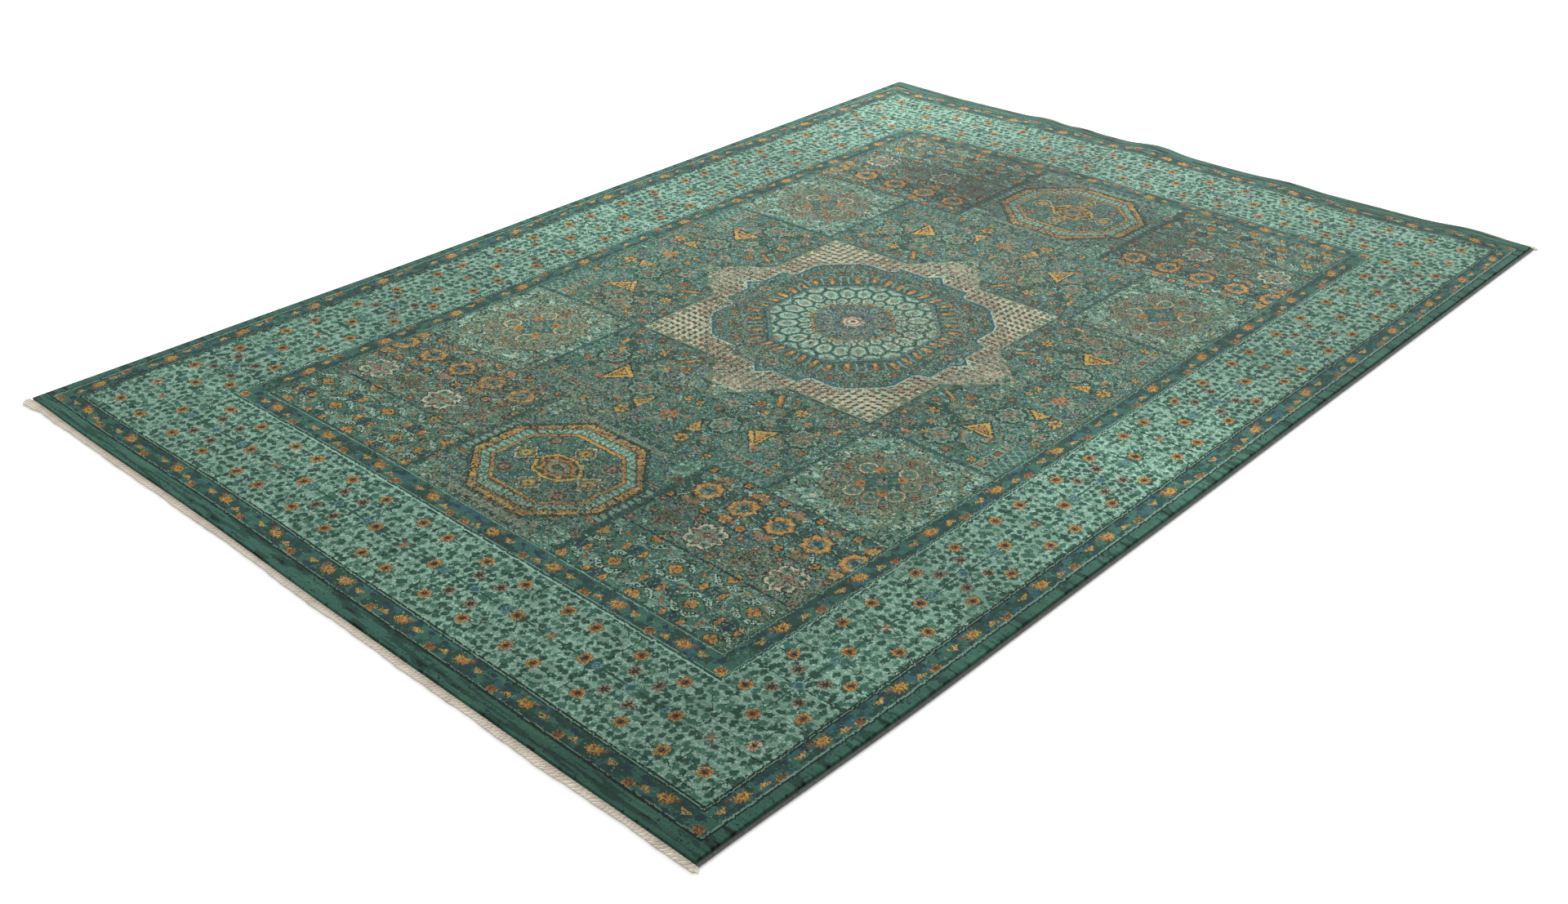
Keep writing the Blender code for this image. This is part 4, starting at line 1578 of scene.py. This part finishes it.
class Nodes:
    """A short way to add and join shader nodes."""

    def __init__(self, name):
        self.material = bpy.data.materials.new(name)
        self.material.use_nodes = True
        self.tree = self.material.node_tree
        self.shader = self.tree.nodes["Principled BSDF"]

    def put(self, node, values):
        """Sets a node's inputs, by name or by number, or joins them to another node's output."""
        for place, value in values.items():
            if isinstance(value, bpy.types.NodeSocket):
                self.tree.links.new(value, node.inputs[place])
            elif value is not None:
                node.inputs[place].default_value = value
        return node

    def add(self, kind, *inputs, **settings):
        node = self.tree.nodes.new("ShaderNode" + kind)
        for name, value in settings.items():
            setattr(node, name, value)
        return self.put(node, dict(enumerate(inputs)))

    def math(self, operation, *values):
        return self.add("Math", *values, operation=operation).outputs[0]

    def times(self, value, factor):
        return self.math("MULTIPLY", value, factor)

    def total(self, first, *others):
        for value in others:
            first = self.math("ADD", first, value)
        return first

    def noise(self, vector, scale, detail=2.0, roughness=0.5):
        settings = {"Vector": vector, "Scale": scale, "Detail": detail, "Roughness": roughness}
        return self.put(self.add("TexNoise"), settings).outputs["Fac"]

    def chance(self, place, dimensions):
        """A random value between 0 and 1 for each whole number, or for each pair of them."""
        inputs = (None, place) if dimensions == "1D" else (place,)
        return self.add("TexWhiteNoise", *inputs, noise_dimensions=dimensions).outputs["Value"]

    def ramp(self, value, stops, interpolation="LINEAR"):
        """stops are (place, colour) with colours as the eye sees them, in steps to 255."""
        node = self.add("ValToRGB", value)
        node.color_ramp.interpolation = interpolation
        elements = node.color_ramp.elements
        for number, (place, colour) in enumerate(stops):
            element = elements[number] if number < 2 else elements.new(place)
            element.position = place
            element.color = linear(colour)
        return node.outputs["Color"]

    def span(self, value, new_low, new_high, low=FAINT, high=STRONG):
        """Stretches a range of values onto another."""
        return self.add("MapRange", value, low, high, new_low, new_high).outputs[0]

    def vector(self, x, y):
        return self.add("CombineXYZ", x, y, 0.0).outputs[0]

    def parts(self, vector):
        return self.add("SeparateXYZ", vector).outputs[:3]

    def brighter(self, colour, amount):
        """Multiplies a colour by a number."""
        return self.put(self.add("VectorMath", colour, operation="SCALE"), {"Scale": amount}).outputs[0]

    def mix(self, amount, first, second):
        return self.put(self.add("Mix", data_type="RGBA"), {0: amount, 6: first, 7: second}).outputs[2]

    def surface(self, colour, roughness, specular, sheen=0.0, height=None, depth=0.0, strength=1.0):
        """Joins all to the shader and returns the material. depth is in metres, where height is 1."""
        self.put(self.shader, {"Base Color": colour, "Roughness": roughness, "Specular IOR Level": specular,
                               "Sheen Weight": sheen})
        if height is not None:
            bump = self.put(self.add("Bump"), {"Strength": strength, "Distance": depth, "Height": height})
            self.put(self.shader, {"Normal": bump.outputs[0]})
        return self.material


def linear(colour):
    """From a colour on the screen, in steps to 255, to amounts of light."""
    return [*((c / 255 / 12.92) if c <= 10 else ((c / 255 + 0.055) / 1.055) ** 2.4 for c in colour), 1.0]


print("gold wool returns", [round(part, 3) for part in linear(YARNS["g"][1])[:3]],
      "of red, green and blue light")


# %% Look up the yarn of a knot
def yarn_of_knot(nodes):
    """Unpacks the knot under a point from its block, and gives its yarn's colour."""
    def whole_step(place):
        held = nodes.math("MINIMUM", nodes.math("MAXIMUM", place, 0.0), BLOCK - 0.01)
        return nodes.math("FLOOR", held)

    column, row, _ = nodes.parts(nodes.add("UVMap", uv_map="in_block").outputs[0])
    number = nodes.math("MULTIPLY_ADD", whole_step(row), float(BLOCK), whole_step(column))
    part = nodes.math("FLOOR", nodes.math("DIVIDE", number, float(PER_PART)))
    step = nodes.math("SUBTRACT", number, nodes.times(part, float(PER_PART)))
    parts = nodes.parts(nodes.add("Attribute", attribute_name="block_yarns").outputs["Vector"])
    chosen = nodes.total(*(nodes.times(nodes.math("COMPARE", part, float(index), 0.5), value)
                           for index, value in enumerate(parts)))
    shifted = nodes.math("FLOOR", nodes.math("DIVIDE", chosen, nodes.math("POWER", float(BASE), step)))
    yarn = nodes.math("MODULO", shifted, float(BASE))
    place = nodes.math("DIVIDE", nodes.total(yarn, 0.5), float(BASE))
    stops = [(number / BASE, colour) for number, (_, colour) in enumerate(YARNS.values())]
    return nodes.ramp(place, stops, "CONSTANT")


print("a face carries", BLOCK * BLOCK, "knots, and a part of its vector up to", PER_PART)

# %% Pile wool
# Where the wool came out darker from its dye, and where light and shade are painted on it: place, reach, and
# share of its light.
# Places count in knots from the left and from the far end.
DYE_AND_PAINTED_LIGHT = {
    # Painted shade darkens the near right corner, and painted light brightens the near right band, both
    # sides, the far left corner, the far end and the left corner square. The dark dye places are the wool's
    # own.
    "painted shade at the near right corner": (900, 1400, 330, -0.20),
    "painted light on the near right band": (1010, 1180, 170, 0.16),
    "painted light on the left side": (30, 700, 330, 0.22),
    "painted light at the far left corner": (120, 120, 300, 0.24),
    "painted light at the far end": (560, 20, 230, 0.12),
    "painted light on the right side": (985, 760, 300, 0.42),
    "dark dye at the far panel's left": (345, 270, 210, -0.60),
    "dark dye at the far panel's right": (640, 280, 190, -0.36),
    "dark dye in the near panel": (620, 1120, 190, -0.20),
    "dark dye beside the octagon": (330, 1030, 120, -0.16),
    "painted light in the left corner square": (253, 960, 150, 0.34),
}


def dye_and_painted_light(nodes, place):
    """The sum of all soft lighter and darker places: dark dye, and painted light and shade."""
    shares = []
    for x, y, reach, share in DYE_AND_PAINTED_LIGHT.values():
        away = nodes.add("VectorMath", place, (x, y, 0.0), operation="DISTANCE").outputs["Value"]
        fade = nodes.add("MapRange", away, 0.0, float(reach), share, 0.0, interpolation_type="SMOOTHSTEP")
        shares.append(fade.outputs[0])
    return nodes.total(*shares)


def pile_wool():
    nodes = Nodes("pile_wool")
    colour = yarn_of_knot(nodes)
    place = nodes.add("UVMap", uv_map="knots").outputs[0]
    x, y, _ = nodes.parts(place)
    knot_x, knot_y = nodes.math("FLOOR", x), nodes.math("FLOOR", y)

    def streaks(row, along_row, down, detail, amount):
        stretched = nodes.vector(nodes.times(x, along_row), nodes.times(row, down))
        return nodes.span(nodes.noise(stretched, 1.0, detail), -amount, amount)

    # Abrash: single rows, fine streaks in them, wider bands of a dye lot, and soft clouds of dark dye and of
    # painted light and shade.
    row_tone = nodes.chance(knot_y, "1D")
    knot_tone = nodes.chance(nodes.vector(knot_x, knot_y), "2D")
    fibre = nodes.noise(place, 4.3, 3.0, 0.7)
    tone = nodes.total(nodes.span(row_tone, -0.07, 0.07, 0, 1), streaks(knot_y, 0.011, 0.55, 2.0, 0.16),
                       streaks(y, 0.0016, 0.03, 3.0, 0.12), streaks(y, 0.012, 0.02, 3.0, 0.07),
                       nodes.span(knot_tone, -0.13, 0.13, 0, 1), nodes.span(fibre, -0.14, 0.14),
                       dye_and_painted_light(nodes, place), 1.0)
    # Each knot ends in a small round tuft.
    tuft = nodes.math("SQRT", nodes.times(nodes.math("PINGPONG", x, 0.5), nodes.math("PINGPONG", y, 0.5)))
    height = nodes.math("MULTIPLY_ADD", fibre, 0.8, nodes.math("MULTIPLY_ADD", knot_tone, 0.5, tuft))
    nodes.put(nodes.shader, {"Sheen Roughness": 0.2, "Sheen Tint": (0.80, 1.0, 0.86, 1.0)})
    return nodes.surface(nodes.brighter(colour, tone), nodes.span(fibre, 0.82, 0.95), 0.12, 0.08, height,
                         0.0009, 0.8)


pile = tie_zones(pile_wool())

# %% [markdown]
# ## The foundation
#
# Cotton warps and wefts carry the knots. From underneath one sees the loops of the same knots,
# so the back shows the same pattern, flatter and paler, with the weave's ribs. The foundation
# is the rug's real sheet of cloth: it carries the pile, the selvedges and the end strips.

# %% The back of the rug
WEFT = (150, 146, 128)


def back_wool():
    nodes = Nodes("back_wool")
    colour = yarn_of_knot(nodes)
    x, y, _ = nodes.parts(nodes.add("UVMap", uv_map="knots").outputs[0])
    rib_x, rib_y = nodes.math("PINGPONG", x, 0.5), nodes.math("PINGPONG", y, 0.5)
    weft = nodes.math("LESS_THAN", rib_y, 0.09)
    fibre = nodes.noise(nodes.vector(x, y), 3.0, 3.0, 0.7)
    colour = nodes.brighter(colour, nodes.span(fibre, 0.85, 1.15))
    colour = nodes.mix(nodes.times(weft, 0.6), colour, linear(WEFT))
    height = nodes.math("MULTIPLY_ADD", fibre, 0.1, nodes.times(rib_x, rib_y))
    return nodes.surface(colour, nodes.span(fibre, 0.85, 0.95), 0.2, 0.0, height, 0.0012, 0.8)


def foundation():
    """A closed slab. Each face of its back carries four by four knots of two rows and columns each."""
    pairs = packed(knots[::2, ::2])
    rows, columns = pairs.shape[:2]
    size = 2 * BLOCK
    line_x, line_y = np.meshgrid(np.arange(columns + 1) * size, np.arange(rows + 1) * size)
    points = np.concatenate([on_rug(line_x, line_y, z).reshape(-1, 3) for z in (0.0, FOUNDATION)]).tolist()
    above = (rows + 1) * (columns + 1)
    slab = Slab()

    def add(corners, block, span):
        face = [layer * above + row * (columns + 1) + column for layer, row, column in corners]
        places = [(column, row) for _, row, column in corners]
        slab.add(face, pairs[block], [((c - block[1]) * BLOCK, (r - block[0]) * BLOCK) for c, r in places],
                 [(c * BLOCK, r * BLOCK) for c, r in places],
                 [(between(span, c / columns), between(UPRIGHT_SPAN, 1 - r / rows)) for c, r in places])

    for row in range(rows):
        for column in range(columns):
            ring = ((row, column), (row, column + 1), (row + 1, column + 1), (row + 1, column))
            add([(0, *key) for key in ring], (row, column), SHOWN)
            add([(1, *key) for key in reversed(ring)], (row, column), HIDDEN)
    edge = [(0, c) for c in range(columns)] + [(r, columns) for r in range(rows)]
    edge += [(rows, c) for c in range(columns, 0, -1)] + [(r, 0) for r in range(rows, 0, -1)]
    for first, second in zip(edge, edge[1:] + edge[:1]):
        block = (min(first[0], second[0], rows - 1), min(first[1], second[1], columns - 1))
        add([(0, *second), (0, *first), (1, *first), (1, *second)], block, HIDDEN)
    return slab.made("foundation", points, back_wool())


ground_cloth = foundation()

# %% [markdown]
# ## The selvedges
#
# Along each long side the last warps are gathered into two bundles, and grey wool is wrapped
# round both, turn after turn. A tube with a ring for every turn shows this honestly: the rings
# swell where the yarn lies and dip between two turns.

# %% Tubes for yarn
def unit(vectors):
    return vectors / np.maximum(np.linalg.norm(vectors, axis=-1, keepdims=True), 1e-12)


def skin(rings):
    """Points and faces of a closed tube, from its rings of corners."""
    count, sides = rings.shape[:2]
    start = (np.arange(count - 1) * sides)[:, None]
    here, after = np.arange(sides), (np.arange(sides) + 1) % sides
    quads = np.stack([start + here, start + sides + here, start + sides + after, start + after], axis=-1)
    ends = [list(range(sides)), list(range(count * sides - 1, (count - 1) * sides - 1, -1))]
    return rings.reshape(-1, 3), quads.reshape(-1, 4).tolist() + ends


def tube(path, radius, sides, flatten=1.0):
    """A closed tube along a path. flatten squeezes it across its width."""
    path = np.asarray(path, float)
    ahead = unit(np.gradient(path, axis=0))
    across = unit(np.cross(ahead, (0.0, 0.0, 1.0)))
    upward = np.cross(across, ahead)
    turn = np.arange(sides) * 2 * math.pi / sides
    radius = np.broadcast_to(radius, len(path))[:, None, None]
    ring = across[:, None] * np.cos(turn)[:, None] * flatten + upward[:, None] * np.sin(turn)[:, None]
    return skin(path[:, None] + radius * ring)


class Bundle:
    """Collects tubes and other shapes into one mesh."""

    def __init__(self):
        self.points, self.faces, self.materials, self.count = [], [], [], 0

    def put(self, shape, material=0):
        points, faces = shape
        self.points.append(points)
        self.faces += [[index + self.count for index in face] for face in faces]
        self.materials += [material] * len(faces)
        self.count += len(points)

    def made(self, name, materials):
        thing = finished(name, np.concatenate(self.points).tolist(), self.faces, materials)
        thing.data.polygons.foreach_set("material_index", self.materials)
        return thing


print("one ring of a tube of eight sides takes", 2 * 8, "triangles")

# %% Overcast selvedges
WRAP = 0.0017               # one turn of the overcasting yarn
CORD_WIDTH, CORD_HEIGHT = 0.00145, 0.00240
CORD_PLACES = (0.0019, 0.0044)
OFF_FLOOR = 0.00015


def overcast_wool(name, colour, dark):
    """Wool with the lines of its twist and a little colour from turn to turn."""
    nodes = Nodes(name)
    place = nodes.add("TexCoord").outputs["Object"]
    y = nodes.parts(place)[1]
    turn = nodes.chance(nodes.math("FLOOR", nodes.math("DIVIDE", y, WRAP)), "1D")
    fibre = nodes.noise(place, 1900.0, 2.0, 0.6)
    shade = nodes.total(nodes.span(turn, -0.22, 0.22, 0, 1), nodes.span(fibre, 0.75, 1.25))
    colour = nodes.mix(nodes.span(shade, 0.0, 1.0, 0.6, 1.4), linear(dark), linear(colour))
    return nodes.surface(colour, nodes.span(fibre, 0.75, 0.95), 0.25, 0.2, fibre, 0.0003, 0.6)


def selvedge(name, side, seed, materials):
    """Two wrapped cords down one long side."""
    rng = np.random.default_rng(seed)
    y = np.linspace(-HALF_LENGTH, HALF_LENGTH, 2 * round(PILE_LENGTH / WRAP) + 1)
    bundle = Bundle()
    for number, outward in enumerate(CORD_PLACES):
        fat = np.where(np.arange(len(y)) % 2 == 0, 0.84, 1.0) * (1 + rng.uniform(-0.05, 0.05, len(y)))
        wobble = rng.uniform(-0.00012, 0.00012, len(y))
        path = lie(side * (HALF_WIDTH + outward + wobble), y, CORD_HEIGHT + OFF_FLOOR)
        bundle.put(tube(path, fat * CORD_HEIGHT, 8, CORD_WIDTH / CORD_HEIGHT), number)
    return bundle.made(name, materials)


cord_finishes = [overcast_wool("selvedge_inner", (56, 74, 66), (26, 38, 32)),
                 overcast_wool("selvedge_outer", (92, 95, 88), (46, 48, 44))]
sides = [selvedge("overcast_left", -1, 91, cord_finishes), selvedge("overcast_right", 1, 92, cord_finishes)]

# %% [markdown]
# ## The end strips
#
# After the last row of knots the weaver twines pairs of undyed yarn across the warps, so that
# nothing can unravel. In each pair the two strands swap places after every warp. Four such
# twined rows over a thin band of warps make the strip, and at the corners it ends in a few
# loose yarns.

# %% Twined end strips
# Place along the strip, how far from the pile it begins there, and its width there.
NEAR_STRIP = ((-0.0110, 0.0060, 0.0050), (-0.0070, 0.0035, 0.0125), (0.0020, 0.0010, 0.0190),
              (0.0160, 0.0000, 0.0185), (0.0600, 0.0000, 0.0125), (0.3000, 0.0000, 0.0105),
              (0.5600, 0.0000, 0.0125), (0.6400, 0.0000, 0.0100), (1.0000, 0.0000, 0.0115),
              (1.4000, 0.0000, 0.0125), (1.6600, 0.0000, 0.0100), (1.7230, 0.0005, 0.0095),
              (1.7265, 0.0020, 0.0050))
FAR_STRIP = ((-0.0110, 0.0040, 0.0050), (-0.0060, 0.0020, 0.0100), (0.0200, 0.0000, 0.0110),
             (0.4500, 0.0000, 0.0115), (0.9000, 0.0000, 0.0100), (1.3000, 0.0000, 0.0120),
             (1.6900, 0.0000, 0.0105), (1.7230, 0.0010, 0.0100), (1.7270, 0.0030, 0.0045))
TWIST = 0.0080              # length in which a pair of strands turns once round itself
STRAND = 0.00088            # radius of one strand
STRAND_SIDES = 5
STEPS_PER_TWIST = 8
TWINED_ROWS = 4
LOOSE_YARNS = 7             # at each corner


def undyed_yarn(name, dark, middle, light):
    nodes = Nodes(name)
    place = nodes.add("TexCoord").outputs["Object"]
    fibre = nodes.noise(place, 1500.0, 3.0, 0.65)
    shade = nodes.total(nodes.span(nodes.noise(place, 38.0), -0.10, 0.10), fibre)
    colour = nodes.ramp(shade, ((0.20, dark), (0.45, middle), (0.75, light)))
    return nodes.surface(colour, nodes.span(fibre, 0.85, 0.97), 0.2, 0.1, fibre, 0.0004, 0.6)


def strip_point(outline, end, place, share, height):
    """A point of the strip: along it, across it from 0 at the pile to 1 outside, and up."""
    inner = GAP + along(outline, place)
    uneven = 1 + 0.07 * np.sin(place * 23) + 0.05 * np.sin(place * 61 + 1) + 0.03 * np.sin(place * 170 + 2)
    beyond = inner + share * uneven * along(outline, place, 2)
    return lie(end * (HALF_WIDTH - place), end * (HALF_LENGTH + beyond), height)


def warp_band(outline, end):
    """The thin band of warps under the twining."""
    places = np.linspace(outline[0][0], outline[-1][0], 320)
    profile = ((0.0, 0.0002), (0.94, 0.0002), (0.99, 0.0010), (0.94, 0.0022), (0.0, 0.0022))
    edges = [strip_point(outline, end, places, share, height) for share, height in profile]
    return skin(np.stack(edges, axis=1))


def loose_yarn(rng, outline, end, corner, reach):
    """A short yarn that sticks out past a corner of the strip, bent a little."""
    share, length = rng.uniform(0.1, 1.0), rng.uniform(0.003, 0.008)
    bend, rise = rng.uniform(-0.002, 0.002), rng.uniform(-0.0006, 0.0006)
    t = np.linspace(-0.4, 1, 7)
    place = corner - reach * 0.002 + reach * length * t
    path = strip_point(outline, end, np.clip(place, outline[0][0], outline[-1][0]), share, 0.0016)
    path[:, 0] = lie(end * (HALF_WIDTH - place), end * HALF_LENGTH, 0.0)[:, 0]
    path[:, 1] += bend * t * t
    path[:, 2] += rise * t * t
    return tube(path, 0.0006 * np.linspace(1, 0.35, len(t)), STRAND_SIDES)


def end_strip(name, end, outline, seed, materials):
    """Twined rows, warp band and loose yarns of one end. One strand of each pair takes a darker copy of the
    yarn, as painted shade.
    """
    rng = np.random.default_rng(seed)
    bundle = Bundle()
    bundle.put(warp_band(outline, end))
    pace = TWIST / STEPS_PER_TWIST
    places = np.arange(outline[0][0] + 0.002, outline[-1][0] - 0.001, pace)
    width = along(outline, places, 2)
    for row in range(TWINED_ROWS):
        slip = rng.uniform(0, TWIST)
        stretch = np.cumsum(1 + 0.25 * np.sin(places * 31 + row) + rng.uniform(-0.1, 0.1, len(places))) * pace
        turn = 2 * math.pi * (stretch + slip) / TWIST
        for strand, start in enumerate((0.0, math.pi)):
            share = (row + 0.5) / TWINED_ROWS + 0.00110 * np.cos(turn + start) / width
            path = strip_point(outline, end, places, share, 0.0022 + 0.00060 * np.sin(turn + start))
            # The second strand of each pair gets the darker yarn: painted shade for the twist.
            bundle.put(tube(path, STRAND, STRAND_SIDES), strand)
    for corner, reach in ((outline[0][0], -1), (outline[-1][0], 1)):
        for _ in range(LOOSE_YARNS):
            bundle.put(loose_yarn(rng, outline, end, corner, reach))
    return bundle.made(name, materials)


# The second yarn is the same undyed yarn painted darker: painted shade for the diagonal shadows of the twist.
cotton = [undyed_yarn("undyed_yarn", (162, 151, 134), (206, 198, 184), (228, 222, 210)),
          undyed_yarn("undyed_yarn_painted_shade", (134, 121, 104), (174, 163, 147), (206, 198, 184))]
strips = [end_strip("twined_near", -1, NEAR_STRIP, 95, cotton),
          end_strip("twined_far", 1, FAR_STRIP, 96, cotton)]

# %% [markdown]
# ## Joining the pieces to the frame
#
# Every piece rides on the rug's one body, and each stands in for a node of the measured model, which is
# hidden.
# The foundation is the rug's sheet of cloth: it was woven flat at this size, and the rest is worked onto it.

# %% Attach each piece and hide the node it replaces
pieces = [*pile, ground_cloth, *sides, *strips]
for thing in pieces:
    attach(thing, "root")
for thing in [*pile, ground_cloth]:
    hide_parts("rug_body")
for thing, node in zip(sides, ("selvedge_left", "selvedge_right")):
    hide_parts(node)
for thing, node in zip(strips, ("end_strip_near", "end_strip_far")):
    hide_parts(node)
print(len(pieces), "pieces ride on the rug's body")

# %% [markdown]
# ## Floor, light and camera
#
# The rug lies on a plain white floor, as in a dealer's studio. Two wide lights and a bright room
# leave almost no shadow, and the camera looks down on one corner from standing height.

# %% A plain floor
def floor():
    mesh = bmesh.new()
    bmesh.ops.create_grid(mesh, x_segments=1, y_segments=1, size=30)
    data = bpy.data.meshes.new("floor")
    mesh.to_mesh(data)
    mesh.free()
    thing = bpy.data.objects.new("floor", data)
    bpy.context.collection.objects.link(thing)
    thing.location.z = -0.0004
    data.materials.append(Nodes("floor_paint").surface((0.90, 0.90, 0.90, 1.0), 0.9, 0.1))
    return thing


floor()
print("the floor lies under everything")


# %% Soft studio light
def soft_light(name, place, aim, size, power):
    data = bpy.data.lights.new(name, "AREA")
    data.shape, data.size, data.energy = "DISK", size, power
    lamp = bpy.data.objects.new(name, data)
    lamp.location = place
    lamp.rotation_euler = (Vector(aim) - Vector(place)).to_track_quat("-Z", "Y").to_euler()
    bpy.context.collection.objects.link(lamp)


soft_light("overhead", (0.3, -0.2, 4.5), (0, 0, 0), 4.0, 70)
soft_light("far_side", (-2.3, 4.1, 2.6), (-0.15, 0.4, 0), 2.5, 540)
world = bpy.data.worlds.new("studio")
bpy.context.scene.world = world
world.use_nodes = True
room = world.node_tree.nodes["Background"].inputs
room["Color"].default_value = (1.0, 1.0, 1.0, 1.0)
room["Strength"].default_value = 0.80
bpy.context.scene.view_settings.view_transform = "Standard"
print("two lights and a bright room")


# %% The camera
AIM = Vector((0.2787, -0.4436, 0.005))
DISTANCE = 2.738
AZIMUTH, ELEVATION, ROLL = 44.04, 30.27, -1.09


def camera():
    data = bpy.data.cameras.new("camera")
    data.lens, data.sensor_width = 37.58, 36.0
    data.clip_end = 100
    thing = bpy.data.objects.new("camera", data)
    azimuth, elevation = math.radians(AZIMUTH), math.radians(ELEVATION)
    back = Vector((math.cos(elevation) * math.sin(azimuth), -math.cos(elevation) * math.cos(azimuth),
                   math.sin(elevation)))
    turned = back.to_track_quat("Z", "Y").to_matrix().to_4x4()
    roll = Matrix.Rotation(math.radians(ROLL), 4, "Z")
    thing.matrix_world = Matrix.Translation(AIM + DISTANCE * back) @ turned @ roll
    bpy.context.collection.objects.link(thing)
    bpy.context.scene.camera = thing


camera()
print("the camera is", DISTANCE, "m from the rug")

# %% [markdown]
# ## The last step
#
# The finished rug has to stay inside the room that the measured model gave it. Here the
# scene is only brought up to date.

# %% Finish
bpy.context.view_layer.update()
